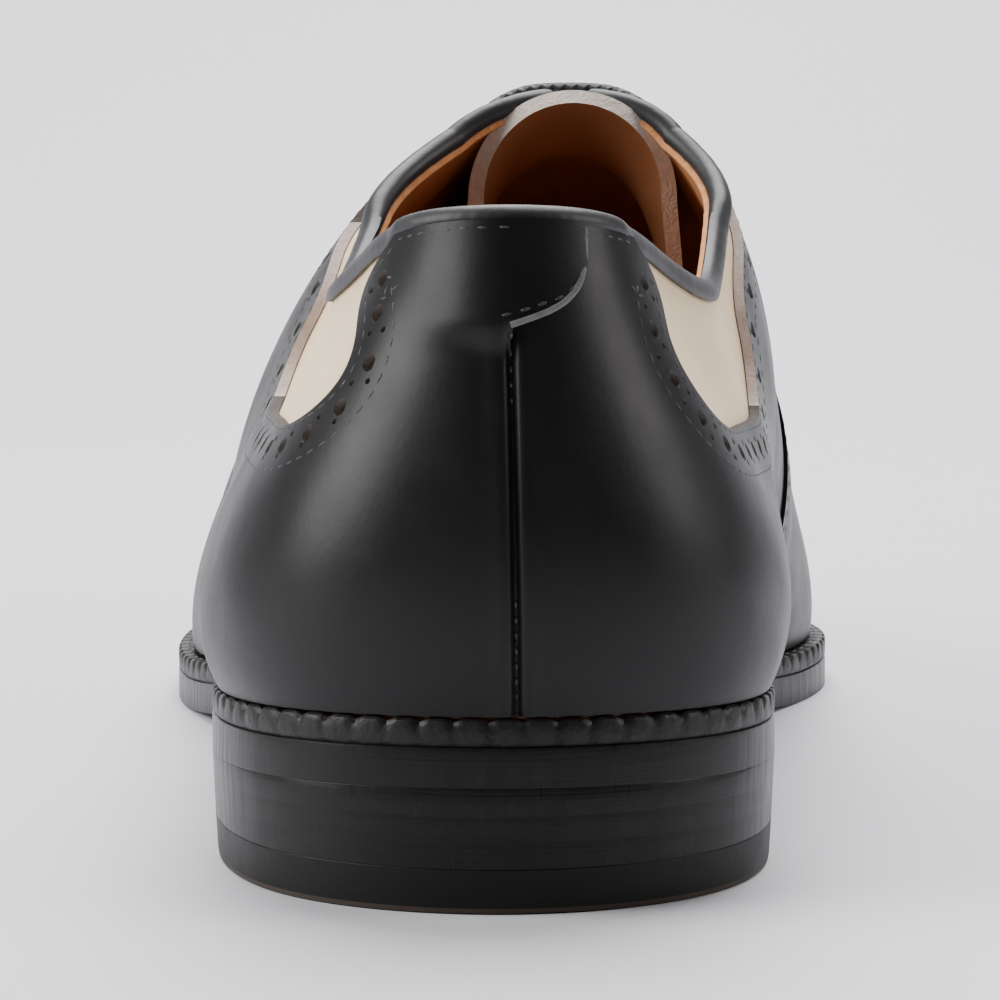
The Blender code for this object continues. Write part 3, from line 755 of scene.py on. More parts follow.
def add_prism(bm, point, direction, radius, depth, sides):
    """A round punch along a direction, centred on a point in millimetres."""
    turn = Vector(direction).to_track_quat("Z", "Y").to_matrix().to_4x4()
    turn.translation = Vector(point) * MM
    bmesh.ops.create_cone(bm, cap_ends=True, segments=sides, radius1=radius * MM, radius2=radius * MM,
                          depth=depth * MM, matrix=turn)


def punches(line, offset, start, radius, sides):
    """A row of round punches at the hole pitch along a line."""
    bm = bmesh.new()
    spots, outs = settle(spaced(beside(line, offset), HOLE_PITCH, HOLE_PITCH * start))
    for point, out in zip(spots, outs):
        add_prism(bm, point + out * 1.0, out, radius, 5.0, sides)
    return bm


def cutter(name, bm, finish):
    bmesh.ops.recalc_face_normals(bm, faces=bm.faces)
    mesh = mesh_of(name, bm)
    mesh.materials.append(finish)
    item = bpy.data.objects.new(name, mesh)
    bpy.context.scene.collection.objects.link(item)
    return item


def cut_out(item, tool):
    """Takes the tool's shape out of a piece; the new walls get the tool's material."""
    cut = item.modifiers.new("cut", "BOOLEAN")
    cut.operation = "DIFFERENCE"
    cut.solver = "EXACT"
    cut.material_mode = "TRANSFER"
    cut.object = tool
    bake_modifiers(item)
    bpy.data.objects.remove(tool)


def block(bm, outline, axis, near, far):
    """A straight block with the given outline, along X or Y."""
    corners = [(near, a, b) if axis == "X" else (a, near, b) for a, b in outline]
    face = bm.faces.new(add_points(bm, corners))
    grown = bmesh.ops.extrude_face_region(bm, geom=[face])
    moved = [part for part in grown["geom"] if isinstance(part, bmesh.types.BMVert)]
    shift = Vector((far - near, 0.0, 0.0)) if axis == "X" else Vector((0.0, far - near, 0.0))
    bmesh.ops.translate(bm, verts=moved, vec=shift * MM)


# %% [markdown]
# ## The black quarters
#
# The two quarters meet in a seam down the back of the heel. The lateral one has a tongue at its
# top, the dog tail, that laps over the seam and is sewn down on the medial side. The quarters run
# on a little under the vamp. Their columns stand closer together near the seam, where the leather
# turns in.

# %% Where the quarters begin and end
SEAM_ROW_TOP = ROW["ball"] + 0.06
SEAM_ROW_FOOT = ROW["instep"] + 0.3
UNDER_VAMP = 0.22
TAIL_LAP = 1.6
DOG_TAIL = [(0.9, 70.0), (2.8, 70.6), (6.2, 71.8), (8.6, 73.6), (9.8, 76.0), (10.1, 79.0), (10.0, 81.5),
            (9.9, 90.0)]


def vamp_seam(v):
    """Row of the seam between quarter and vamp: at the throat on top, swept back at the welt."""
    return SEAM_ROW_FOOT + (SEAM_ROW_TOP - SEAM_ROW_FOOT) * v * v * (3.0 - 2.0 * v)


def seam_x(z):
    """The back seam leans a little towards the medial side on its way down."""
    return 0.55 + 0.7 * np.clip((70.0 - z) / 45.0, 0.0, 1.0)


def seam_rows(v):
    """The back seam's place at a height, in rows from the heel's middle, and the rows' length."""
    step = 0.02
    length = (skin_at(-step, v)[..., 0] - skin_at(step, v)[..., 0]) / (2.0 * step)
    middle = skin_at(0.0, v)
    return (seam_x(middle[..., 2]) - middle[..., 0]) / length, length


def seam_relief(distance, v):
    """Lift beside the back seam: turned in at the seam itself, a little full beyond it."""
    fade = ease((0.80 - v) / 0.05)
    turned_in = -0.75 * np.exp(-(distance / 0.55) ** 2)
    full = 0.22 * np.exp(-((distance - 1.6) / 1.0) ** 2)
    return (turned_in + full) * fade


def quarter_v(j):
    return 0.004 + 1.002 * j


def lateral_place(i, j):
    v = quarter_v(j)
    front = vamp_seam(np.minimum(v, 1.0)) + UNDER_VAMP
    seam, row_length = seam_rows(np.minimum(v, 1.0))
    near = np.interp(i, [0.0, 0.10, 0.20, 1.0], [-0.62, -0.10, 0.06, 1.0])
    u = np.where(i <= 0.2, near, 0.06 + (front - 0.06) * (i - 0.2) / 0.8)
    past_seam = (-seam - u) * row_length
    lap = ease((past_seam + 13.0) / 13.0) * ease((v - 0.72) / 0.08)
    lift = QUARTER_OUT + TAIL_LAP * lap + seam_relief(np.abs(past_seam), v)
    return past_the_top(u, v, lift)


def medial_place(i, j):
    v = quarter_v(j)
    front = vamp_seam(np.minimum(v, 1.0)) + UNDER_VAMP
    seam, row_length = seam_rows(np.minimum(v, 1.0))
    row = np.where(i <= 0.1, seam + (0.12 - seam) * i / 0.1, 0.12 + (front - 0.12) * (i - 0.1) / 0.9)
    row = np.maximum(row, seam)
    lift = QUARTER_OUT + seam_relief((row - seam) * row_length, v)
    return past_the_top(RING - row, v, lift)


# %% Eyelets
EYELET_ROWS = [6.12, 6.52, 6.92, 7.32, 7.7]
EYELET_SETBACK = 8.0
EYELET_RADIUS = 1.75


def below_edge(u, distance):
    """How far down the column, as v, a point lies that is this far from the top edge."""
    heights = np.linspace(1.0, 0.4, 121)
    column = skin_at(u, heights)
    travelled = np.concatenate([[0.0], np.cumsum(np.linalg.norm(np.diff(column, axis=0), axis=1))])
    return float(np.interp(distance, travelled, heights))


def on_side(row, side):
    return row if side < 0 else RING - row


eyelets = []
for row in EYELET_ROWS:
    eyelets.append([(on_side(row, side), below_edge(on_side(row, side), EYELET_SETBACK))
                    for side in (-1, 1)])
print("eyelets:", 2 * len(eyelets), "at", EYELET_SETBACK, "mm from the facing's edge")

# %% Cutting the quarters
quarters = {}
for side, name, place in ((-1, "quarter_lateral", lateral_place), (1, "quarter_medial", medial_place)):
    bm = shaped_grid(230, 84, place)
    face_outwards(bm)
    nodes = [name, "back_tab"] if side < 0 else [name]
    item = make_piece("leather_" + name, bm, [black_calf, dark_edge, raw_edge], nodes)
    give_wall(item, QUARTER, rim=1)
    bake_modifiers(item)

    bm = bmesh.new()
    outline = [tuple(point) for point in window_outline(side, 12)]
    outline += [(outline[-1][0], WINDOW_CLEAR_TOP_Z), (outline[0][0], WINDOW_CLEAR_TOP_Z)]
    block(bm, outline, "X", side * 3.0, side * 63.0)
    cut_out(item, cutter("window_tool", bm, dark_edge))

    for offset, start, radius, sides in HOLE_ROWS:
        bm = punches(window_line[side], -side * offset, start, radius, sides)
        cut_out(item, cutter("punches", bm, grey_edge))
    bm = bmesh.new()
    for pair in eyelets:
        u, v = pair[0 if side < 0 else 1]
        add_prism(bm, skin_at(u, v), skin_normal(u, v), EYELET_RADIUS, 9.0, 20)
    cut_out(item, cutter("eyelets", bm, dark_edge))
    for face in item.data.polygons:
        in_front = WINDOW_FRONT_Y[0] < face.center.y < WINDOW_FRONT_Y[1] and face.center.z > WINDOW_FRONT_Z
        if face.material_index == 1 and in_front and face.normal.y < -0.35:
            face.material_index = 2
    quarters[side] = item

bm = bmesh.new()
tail = [(float(seam_x(z)), z) for z in np.linspace(8.0, 68.5, 12)] + DOG_TAIL + [(40.0, 90.0), (40.0, 8.0)]
block(bm, tail, "Y", -70.0, -8.0)
cut_out(quarters[-1], cutter("tail_tool", bm, grey_edge))
for item in quarters.values():
    soften(item)
print("quarters:", [len(item.data.polygons) for item in quarters.values()], "faces")

# %% [markdown]
# ## Vamp and toe cap
#
# The vamp lies on the quarters, and the toe cap on the vamp. Each rises a little where it laps over
# the piece below.

# %% Front of the shoe
CAP_ROW = ROW["cap_line"]
CAP_BOW = 0.156
CAP_BOW_POWER = 7
UNDER_CAP = 0.3


def cap_seam(v):
    return CAP_ROW + CAP_BOW * v ** CAP_BOW_POWER


def step_up(rows_in):
    """How far a piece rises where it laps over the one behind it."""
    return STEP_UP * ease((0.62 - rows_in) / 0.36)


def vamp_place(i, j):
    across = 2.0 * j - 1.0
    v = 0.004 + 0.996 * (1.0 - np.abs(across))
    start = vamp_seam(v)
    row = start + (cap_seam(v) + UNDER_CAP - start) * i
    u = np.where(across <= 0.0, row, RING - row)
    return lifted(u, v, VAMP_OUT + step_up(row - start))


def cap_place(i, j):
    v = 0.004 + 0.996 * j
    start = cap_seam(v)
    u = start + (RING - 2.0 * start) * i
    row = np.minimum(u, RING - u)
    return lifted(u, v, CAP_OUT + step_up((row - start) * 1.3))


bm = shaped_grid(120, 160, vamp_place)
face_outwards(bm)
vamp = make_piece("leather_vamp", bm, [black_calf], ["vamp"])
give_wall(vamp, VAMP)

bm = shaped_grid(240, 80, cap_place)
weld(bm)
face_outwards(bm)
toe_cap = make_piece("leather_toe_cap", bm, [black_calf], ["toe_cap"])
give_wall(toe_cap, VAMP)
for item in (vamp, toe_cap):
    bake_modifiers(item)
    soften(item)
print("vamp and toe cap:", len(vamp.data.polygons), len(toe_cap.data.polygons), "faces")

# %% [markdown]
# ## Sole, welt and heel
#
# The sole is built in layers, and each layer follows the outline that the last gives. A layer is a
# ring of profiles: the profile's points say how far in from the edge and how high each one lies.
# The inner points of both faces close on a line down the middle of the shoe.

# %% A layer from profiles
INSOLE_ABOVE_WELT = 2.2
HEEL_TAPER = 0.7


def ring_sheet(profile, columns):
    """A closed ring of profiles; profile(u) gives points (N, 3) per column from top to underside."""
    bm = bmesh.new()
    verts = [add_points(bm, row) for row in profile(np.arange(columns) * RING / columns)]
    join_rings(bm, verts)
    return bm, verts


def close_over(bm, ring, height):
    """Fills a ring with rows of faces that run from its lateral to its medial half."""
    count = len(ring)
    half = count // 2
    steps = 8
    previous = [ring[0]] * (steps + 1)
    for k in range(1, half + 1):
        left = ring[k]
        right = ring[-k % count]
        row = [left]
        for s in range(1, steps):
            if left is right:
                row.append(left)
                continue
            spot = left.co.lerp(right.co, s / steps)
            spot.z = height(spot.y / MM) * MM
            row.append(bm.verts.new(spot))
        row.append(right)
        for s in range(steps):
            corners = []
            for vert in (previous[s], previous[s + 1], row[s + 1], row[s]):
                if vert not in corners:
                    corners.append(vert)
            if len(corners) > 2:
                bm.faces.new(corners)
        previous = row


def layer(name, edge_profile, top, bottom, columns, finish, nodes, extra=None, smooth=35.0):
    """A full layer: its edge from edge_profile (inset, share of height), closed over and under."""
    def profile(u):
        rows = []
        for inset, share in edge_profile:
            more = 0.0 if extra is None else extra(u)
            points = sole_edge(u, inset + more)
            low, high = bottom(points[:, 1]), top(points[:, 1])
            points[:, 2] = low + (high - low) * share
            rows.append(points)
        return rows

    bm, verts = ring_sheet(profile, columns)
    close_over(bm, verts[0], top)
    close_over(bm, verts[-1], bottom)
    bmesh.ops.recalc_face_normals(bm, faces=bm.faces)
    return make_piece(name, bm, [finish], nodes, smooth)


def outsole_top(y):
    return sole_bottom(y) + OUTSOLE


def insole_top(y):
    return welt_top(y) + INSOLE_ABOVE_WELT


def insole_bottom(y):
    return outsole_top(y) + GAP


SOLE_EDGE = [(1.2, 1.0), (0.3, 1.0), (0.08, 0.97), (0.0, 0.88), (0.0, 0.5), (0.0, 0.06), (0.02, 0.01),
             (0.06, 0.0), (1.2, 0.0), (3.5, 0.0)]
layer("sole", SOLE_EDGE, outsole_top, sole_bottom, 520, edge_dressing, ["outsole"])
layer("insole_board", [(3.6, 1.0), (2.9, 0.97), (2.7, 0.8), (2.7, 0.2), (2.7, 0.0)], insole_top,
      insole_bottom, 260, tan_lining, ["insole"], welt_width)

# %% [markdown]
# The welt carries the wheeled notches. Every notch is a dip in the top edge, so the ring has a
# column on each side of every dip, and the columns are spread by true length.

# %% Welt with its notches
NOTCH_PITCH = 4.25
NOTCH_DEPTH = 0.45
COLUMNS_PER_NOTCH = 8

fine_u = np.linspace(0.0, RING, 4001)
edge_travel = np.concatenate([[0.0], np.cumsum(np.linalg.norm(np.diff(sole_edge(fine_u), axis=0), axis=1))])
notches = int(round(edge_travel[-1] / NOTCH_PITCH))
welt_columns = notches * COLUMNS_PER_NOTCH
welt_u = np.interp(np.arange(welt_columns) * edge_travel[-1] / welt_columns, edge_travel, fine_u)
phase = np.arange(welt_columns) % COLUMNS_PER_NOTCH / COLUMNS_PER_NOTCH
dip = NOTCH_DEPTH * np.clip(1.0 - np.abs(phase - 0.5) * 5.0, 0.0, 1.0) ** 0.7
WELT_EDGE = [
    # inset, share of height, share of the notch
    (7.6, 1.0, 0.0),
    (3.0, 1.0, 0.1),
    (2.2, 1.0, 0.7),
    (0.55, 1.0, 1.0),
    (0.16, 0.93, 1.0),
    (0.0, 0.80, 0.8),
    (0.0, 0.45, 0.3),
    (0.05, 0.14, 0.0),
    (0.35, 0.0, 0.0),
    (7.6, 0.0, 0.0),
]
rings = []
for inset, share, notched in WELT_EDGE:
    points = sole_edge(welt_u, inset + dip * notched * (0.8 if share < 1.0 else 0.0))
    low = outsole_top(points[:, 1])
    points[:, 2] = low + (WELT + GAP) * share - dip * notched * (share > 0.7)
    rings.append(points)
bm = bmesh.new()
join_rings(bm, [add_points(bm, ring) for ring in rings], through=True)
bmesh.ops.recalc_face_normals(bm, faces=bm.faces)
make_piece("welt_strip", bm, [welt_leather], ["welt"], smooth=30.0)
print("welt:", notches, "notches,", welt_columns, "columns")

# %% [markdown]
# The heel is a stack of leather lifts on a rubber top piece. Faint grooves tell the lifts apart, and
# the front face, the breast, is straight.

# %% Heel
HEEL_LIFTS = 3


def heel_outline(inset, y_end):
    """The heel's outline from one breast corner round the back to the other."""
    u = np.linspace(-3.2, 3.2, 561)
    edge = sole_edge(u, inset)
    kept = edge[edge[:, 1] <= y_end]
    steps = np.linspace(0.0, 1.0, 240)
    travelled = np.concatenate([[0.0], np.cumsum(np.linalg.norm(np.diff(kept, axis=0), axis=1))])
    ring = np.stack([np.interp(steps * travelled[-1], travelled, kept[:, k]) for k in range(3)], axis=-1)
    ring[0, 1] = ring[-1, 1] = y_end
    return ring


def heel_block(name, levels, low, high, finish, nodes):
    """Stacked outlines closed by a flat breast; levels give inset and share of height."""
    bm = bmesh.new()
    rows = []
    for inset, share in levels:
        ring = heel_outline(inset, HEEL_BREAST_Y - 0.25 * (inset > 0.25))
        bottom, top = low(ring[:, 1]), high(ring[:, 1])
        ring[:, 2] = bottom + (top - bottom) * share
        rows.append(add_points(bm, ring))
    join_rings(bm, rows)
    bm.faces.new(rows[0])
    bm.faces.new(rows[-1][::-1])
    bmesh.ops.recalc_face_normals(bm, faces=bm.faces)
    return make_piece(name, bm, [finish], nodes, smooth=30.0)


def seat_height(y):
    return SEAT_BACK_Z + SEAT_SLOPE * (y - HEEL_BACK_Y)


lift_levels = [(0.04, 1.0), (0.0, 0.99)]
for lift_index in range(1, HEEL_LIFTS):
    share = 1.0 - lift_index / HEEL_LIFTS
    taper = 0.5 * HEEL_TAPER * (1.0 - share)
    lift_levels += [(taper, share + 0.012), (taper + 0.02, share), (taper, share - 0.012)]
lift_levels += [(0.5 * HEEL_TAPER, 0.008), (0.5 * HEEL_TAPER + 0.05, 0.0)]
heel_block("heel_stack", lift_levels, lambda y: np.full_like(y, TOP_PIECE),
           lambda y: seat_height(y), edge_dressing, ["heel_lifts"])
heel_block("top_piece", [(0.5 * HEEL_TAPER + 0.08, 1.0), (0.5 * HEEL_TAPER, 0.98), (HEEL_TAPER - 0.1, 0.14)],
           lambda y: np.zeros_like(y), lambda y: np.full_like(y, TOP_PIECE), rubber,
           ["heel_top_piece"])
heel_block("top_piece_foot", [(HEEL_TAPER - 0.1, 0.145), (HEEL_TAPER, 0.04), (HEEL_TAPER + 0.3, 0.0)],
           lambda y: np.zeros_like(y), lambda y: np.full_like(y, TOP_PIECE), brown_rubber,
           ["heel_top_piece"])
print("pieces so far:", len(made))

# %% [markdown]
# ## The collar's binding
#
# A strip of soft calf is folded over the collar's edge. Its section is told in two directions, out
# of the leather and off its edge, and swept round the heel from one facing to the other. Over the
# windows there is no black leather under it, so it lies closer there.

# %% Binding
BINDING_END_ROW = 5.84
BINDING_SECTION = [
    # out of the leather, off the edge, share moved down over a window
    (1.35, 0.45, 1.0),
    (1.62, 0.60, 0.9),
    (1.72, 1.05, 0.6),
    (1.66, 1.65, 0.3),
    (1.30, 2.35, 0.1),
    (0.70, 2.80, 0.0),
    (0.05, 2.95, 0.0),
    (-0.60, 2.82, 0.0),
    (-1.10, 2.45, 0.0),
    (-1.40, 1.85, 0.0),
    (-1.45, 1.15, 0.0),
    (-1.25, 0.70, 0.0),
    (-0.70, 0.45, 0.3),
    (0.30, 0.40, 0.6),
]
BINDING_COLUMNS = 900
binding_u = np.linspace(-BINDING_END_ROW, BINDING_END_ROW, BINDING_COLUMNS)
binding_row = np.abs(binding_u)
over_window = ease((binding_row - 1.2) / 0.3) * ease((4.1 - binding_row) / 0.3)
narrowing = np.clip((binding_row - BINDING_END_ROW + 0.06) / 0.06, 0.0, 1.0)
fullness = np.sqrt(np.clip(1.0 - narrowing ** 2, 0.0, 1.0))[:, None]
top_edge = skin_at(binding_u, 1.0)
out_of = skin_normal(binding_u, 0.99)
off_edge = off_the_edge(binding_u)
uneven = 0.02 * np.sin(binding_u * 37.0) * np.sin(binding_u * 11.0 + 0.7)
section_middle = top_edge + off_edge * 1.7
bm = bmesh.new()
rings = []
for out, off, moved in BINDING_SECTION:
    outs = out - 0.75 * over_window * (out > 0.0) + uneven
    offs = off - 1.0 * moved * over_window + uneven * moved
    points = top_edge + out_of * outs[:, None] + off_edge * offs[:, None]
    points = section_middle + (points - section_middle) * fullness
    rings.append(add_points(bm, points))
join_rings(bm, rings, around=False, through=True)
weld(bm, 0.001)
close_and_turn(bm)
make_piece("collar_roll", bm, [binding_calf], ["collar_binding"], smooth=60.0)

# %% [markdown]
# ## The tongue
#
# The tongue lies under the facings and arches over the instep. Its thick raw edge curls up in the
# collar, and its inner face shows there, coloured as a darker copy of the tan lining: painted shade for the
# collar's shadow.

# %% Tongue
TONGUE_DEPTH = 5.1
TONGUE_REACH = 21.0
TONGUE_FIRST_ROW = 7.8
TONGUE_LAST_ROW = 6.06
TONGUE_BEYOND = 8.0
TONGUE_CURL = 6.0
TONGUE_LEATHER = 2.3
TONGUE_ROUNDING = 120
ARCH_HALF_WIDTH = 15.0
ARCH_HEIGHT = 15.4
TONGUE_LENGTH_STEPS = 60
TONGUE_ACROSS_STEPS = 72


def down_the_side(u, distances):
    """Points at given distances below the top edge, along one column."""
    heights = np.linspace(1.0, 0.3, 141)
    column = skin_at(u, heights)
    travelled = np.concatenate([[0.0], np.cumsum(np.linalg.norm(np.diff(column, axis=0), axis=1))])
    return skin_at(u, np.interp(distances, travelled, heights))


def tongue_sheet():
    table = np.zeros((TONGUE_LENGTH_STEPS + 1, TONGUE_ACROSS_STEPS + 1, 3))
    for a in range(TONGUE_LENGTH_STEPS + 1):
        along = a / TONGUE_LENGTH_STEPS
        row = TONGUE_FIRST_ROW + (TONGUE_LAST_ROW - TONGUE_FIRST_ROW) * min(1.0, along / 0.7)
        tops = [skin_at(on_side(row, side), 1.0) for side in (-1, 1)]
        gap = np.linalg.norm(tops[1] - tops[0])
        reach = TONGUE_REACH + 0.5 * gap
        spots = np.linspace(-reach, reach, TONGUE_ACROSS_STEPS + 1)
        below = np.clip(np.abs(spots) - 0.5 * gap, 0.0, None)
        for side in (-1, 1):
            own = spots * side > 0.5 * gap
            table[a, own] = down_the_side(on_side(row, side), below[own])
        between = np.abs(spots) <= 0.5 * gap
        t = (spots[between] / max(gap, 1e-6) + 0.5)[:, None]
        rise = [off_the_edge(np.array(on_side(row, side))) * gap * 0.8 for side in (-1, 1)]
        table[a, between] = ((2 * t ** 3 - 3 * t ** 2 + 1) * tops[0] + (t ** 3 - 2 * t ** 2 + t) * rise[0]
                             + (3 * t ** 2 - 2 * t ** 3) * tops[1] - (t ** 3 - t ** 2) * rise[1])
        past = max(0.0, (along - 0.7) / 0.3)
        table[a, :, 1] -= TONGUE_BEYOND * past
        table[a, :, 2] += TONGUE_CURL * past * (1.0 - (spots / reach) ** 2)
    along_way = np.gradient(table, axis=0)
    across_way = np.gradient(table, axis=1)
    normals = unit(np.cross(along_way, across_way))
    normals *= np.sign(normals[:, TONGUE_ACROSS_STEPS // 2, 2])[:, None, None]
    table -= normals * TONGUE_DEPTH
    middle = TONGUE_ACROSS_STEPS // 2
    tops = table[:, middle].copy()
    for _ in range(TONGUE_ROUNDING):
        table[:, 1:-1] = 0.5 * table[:, 1:-1] + 0.25 * (table[:, :-2] + table[:, 2:])
    bulge = np.cos(np.linspace(-0.5, 0.5, TONGUE_ACROSS_STEPS + 1) * math.pi) ** 2
    table += (tops - table[:, middle])[:, None, :] * bulge[None, :, None]
    across = np.linspace(-1.0, 1.0, TONGUE_ACROSS_STEPS + 1)
    turn = np.clip(np.abs(across) / 0.6, 0.0, 1.0) * 0.5 * math.pi
    leg = np.clip((np.abs(across) - 0.6) / 0.4, 0.0, None)
    arch_x = np.sign(across) * (ARCH_HALF_WIDTH * np.sin(turn) + 1.5 * leg)
    arch_drop = ARCH_HEIGHT * (1.0 - np.cos(turn)) + 14.0 * leg
    share = ease((np.linspace(0.0, 1.0, TONGUE_LENGTH_STEPS + 1) - 0.62) / 0.38)[:, None]
    table[..., 0] += share * (table[:, middle, 0][:, None] + arch_x - table[..., 0])
    table[..., 2] += share * (table[:, middle, 2][:, None] - arch_drop - table[..., 2])
    return table


tongue_table = tongue_sheet()


def tongue_place(i, j):
    a = np.rint(i * TONGUE_LENGTH_STEPS).astype(int)
    b = np.rint(j * TONGUE_ACROSS_STEPS).astype(int)
    return tongue_table[a, b]


bm = shaped_grid(TONGUE_LENGTH_STEPS, TONGUE_ACROSS_STEPS, tongue_place)
face_outwards(bm)
tongue_finishes = [black_calf, tongue_edge, tongue_lining_painted_shade]
tongue = make_piece("tongue_leather", bm, tongue_finishes, ["tongue"])
give_wall(tongue, TONGUE_LEATHER, rim=1)
# The inner shell takes the darker lining copy, which paints the collar's shade on it.
tongue.modifiers["wall"].material_offset = 2
bake_modifiers(tongue)
soften(tongue, 50.0)

# %% [markdown]
# ## The lace
#
# The lace runs in straight bars. Between two bars it dives through an eyelet and runs under the
# facing to the next one. A tube is swept along the rounded path, and its UV map counts millimetres,
# so that the braid keeps its size.

# %% Lace
LACE_RADIUS = 1.1
LACE_OVER = 0.45 + 1.2 + 0.3 + LACE_RADIUS
LACE_UNDER = -(2.0 + 0.3 + LACE_RADIUS + 0.1)
LACE_SIDES = 14


def lace_route():
    points = []
    for index, pair in enumerate(eyelets):
        (u_in, v_in), (u_out, v_out) = pair if index % 2 == 0 else pair[::-1]
        points += [lifted(u_in, v_in, LACE_UNDER), lifted(u_in, v_in, LACE_OVER - 0.5),
                   lifted(u_in, v_in + 0.01, LACE_OVER),
                   lifted(u_in, 0.5 + 0.5 * v_in, LACE_OVER + 0.25),
                   lifted(u_in, 0.99, LACE_OVER + 0.1), lifted(u_out, 0.99, LACE_OVER + 0.1),
                   lifted(u_out, 0.5 + 0.5 * v_out, LACE_OVER + 0.25),
                   lifted(u_out, v_out + 0.01, LACE_OVER), lifted(u_out, v_out, LACE_OVER - 0.5),
                   lifted(u_out, v_out, LACE_UNDER)]
    return np.array(points)


def rounded_path(points, times):
    """Cuts the corners of a path again and again."""
    for _ in range(times):
        first = 0.75 * points[:-1] + 0.25 * points[1:]
        second = 0.25 * points[:-1] + 0.75 * points[1:]
        inner = np.empty((2 * len(first), 3))
        inner[0::2], inner[1::2] = first, second
        points = np.concatenate([points[:1], inner, points[-1:]])
    return points


def swept_tube(points, radius, sides):
    """A round tube with UV: millimetres along it, and turns around it."""
    ahead = unit(np.gradient(points, axis=0))
    side = unit(np.cross(ahead[0], [0.3, 0.2, 1.0]))
    bm = bmesh.new()
    uv = bm.loops.layers.uv.new("UVMap")
    travelled = np.concatenate([[0.0], np.cumsum(np.linalg.norm(np.diff(points, axis=0), axis=1))])
    rings = []
    for k, point in enumerate(points):
        side = unit(side - ahead[k] * np.dot(side, ahead[k]))
        other = np.cross(ahead[k], side)
        turns = [math.tau * s / sides for s in range(sides)]
        rings.append(add_points(bm, [point + radius * (math.cos(turn) * side + math.sin(turn) * other)
                                     for turn in turns]))
    for k in range(len(rings) - 1):
        for s in range(sides):
            n = (s + 1) % sides
            face = bm.faces.new((rings[k][s], rings[k][n], rings[k + 1][n], rings[k + 1][s]))
            spots = ((k, s), (k, s + 1), (k + 1, s + 1), (k + 1, s))
            for loop, (row, turn) in zip(face.loops, spots):
                loop[uv].uv = (travelled[row], turn / sides)
    close_and_turn(bm)
    return bm, travelled[-1]


lace_points = spaced(rounded_path(lace_route(), 3), 0.5)
bm, lace_length = swept_tube(lace_points, LACE_RADIUS, LACE_SIDES)
make_piece("lace_cord", bm, [lace_cotton], ["lace"], smooth=60.0)
print("lace:", round(lace_length), "mm between its ends under the top eyelets")

# %% [markdown]
# ## Stitches
#
# A stitch is a short sunk grain of thread. Every row is laid along a line on the last; a search tree
# of the finished leathers then says how high the leather lies there.

# %% Rows of thread
leather_points = []
leather_faces = []
for item in (quarters[-1], quarters[1], vamp, toe_cap):
    base = len(leather_points)
    leather_points += [vert.co / MM for vert in item.data.vertices]
    leather_faces += [[base + index for index in face.vertices] for face in item.data.polygons]
leather_tree = BVHTree.FromPolygons(leather_points, leather_faces)
stitches = bmesh.new()


def on_leather(points, at_least=0.6):
    """Moves points of the last out to the leather that lies over them; drops those with none."""
    kept, normals = [], []
    for point, normal in zip(*settle(points)):
        start = Vector(point + normal * 7.0)
        hit = leather_tree.ray_cast(start, Vector(-normal), 7.5)
        if hit[0] is not None and 7.0 - hit[3] > at_least:
            kept.append(np.array(hit[0]))
            normals.append(normal)
    return np.array(kept), np.array(normals)


def sew(points, pitch=2.3, length=1.75, thick=0.42, sunk=0.08, start=0.6):
    """One row of stitches along a line."""
    if len(points) < 3:
        return 0
    line, normals = on_leather(spaced(points, pitch, start))
    if len(line) < 3:
        return 0
    ahead = np.gradient(line, axis=0)
    for point, normal, way in zip(line, normals, ahead):
        if np.linalg.norm(way) > 1.6 * pitch:
            continue
        z_axis = Vector(normal)
        x_axis = Vector(way).normalized()
        y_axis = z_axis.cross(x_axis).normalized()
        z_axis = x_axis.cross(y_axis)
        turn = Matrix((x_axis, y_axis, z_axis)).transposed().to_4x4()
        size = Matrix.Diagonal((0.5 * length * MM, 0.5 * thick * MM, 0.4 * thick * MM, 1.0))
        turn.translation = (Vector(point) - z_axis * sunk) * MM
        bmesh.ops.create_uvsphere(stitches, u_segments=6, v_segments=4, radius=1.0, matrix=turn @ size)
    return len(line)


def edge_line(rows, heights, side):
    return skin_at(on_side(np.asarray(rows), side), heights)


sewn = 0
for side in (-1, 1):
    for distance in (1.2, 7.0):
        sewn += sew(beside(window_line[side], -side * distance))
    heights = np.linspace(0.02, 0.99, 90)
    for ahead_rows in (0.055, 0.14):
        sewn += sew(edge_line(vamp_seam(heights) + ahead_rows, heights, side))
        sewn += sew(edge_line(cap_seam(heights) + ahead_rows, heights, side))
    rows = np.linspace(0.7 if side > 0 else 0.0, 5.9, 260)
    sewn += sew(edge_line(rows, 0.993, side), pitch=2.0, length=1.5)
    facing = np.array([below_edge(on_side(row, side), 2.0) for row in np.linspace(6.0, 8.0, 40)])
    sewn += sew(edge_line(np.linspace(6.0, 8.0, 40), facing, side))
    facing = np.array([below_edge(on_side(row, side), 13.0) for row in np.linspace(5.9, 7.7, 40)])
    sewn += sew(edge_line(np.linspace(5.9, 7.7, 40), facing, side))
tail_row = np.array([(x - 1.0, -60.0, z + 0.7) for x, z in DOG_TAIL[:-2]])
tail_hits = [skin_tree.ray_cast(Vector(point), Vector((0.0, 1.0, 0.0)))[0] for point in tail_row]
sewn += sew(np.array([hit[:] for hit in tail_hits if hit is not None]), pitch=1.9, length=1.4, thick=0.5,
            sunk=0.0, start=0.3)
seam_hits = [skin_tree.ray_cast(Vector((seam_x(z), -60.0, z)), Vector((0.0, 1.0, 0.0)))[0]
             for z in np.linspace(26.0, 70.0, 60)]
sewn += sew(np.array([hit[:] for hit in seam_hits if hit is not None]), pitch=1.85, length=1.2,
            thick=0.55, sunk=0.0)
lip_rows = np.array([(x - 0.35, -60.0, z + 0.3) for x, z in DOG_TAIL[:-1]])
lip_hits = [leather_tree.ray_cast(Vector(point), Vector((0.0, 1.0, 0.0)))[0] for point in lip_rows]
lip_line = np.array([hit[:] for hit in lip_hits if hit is not None])
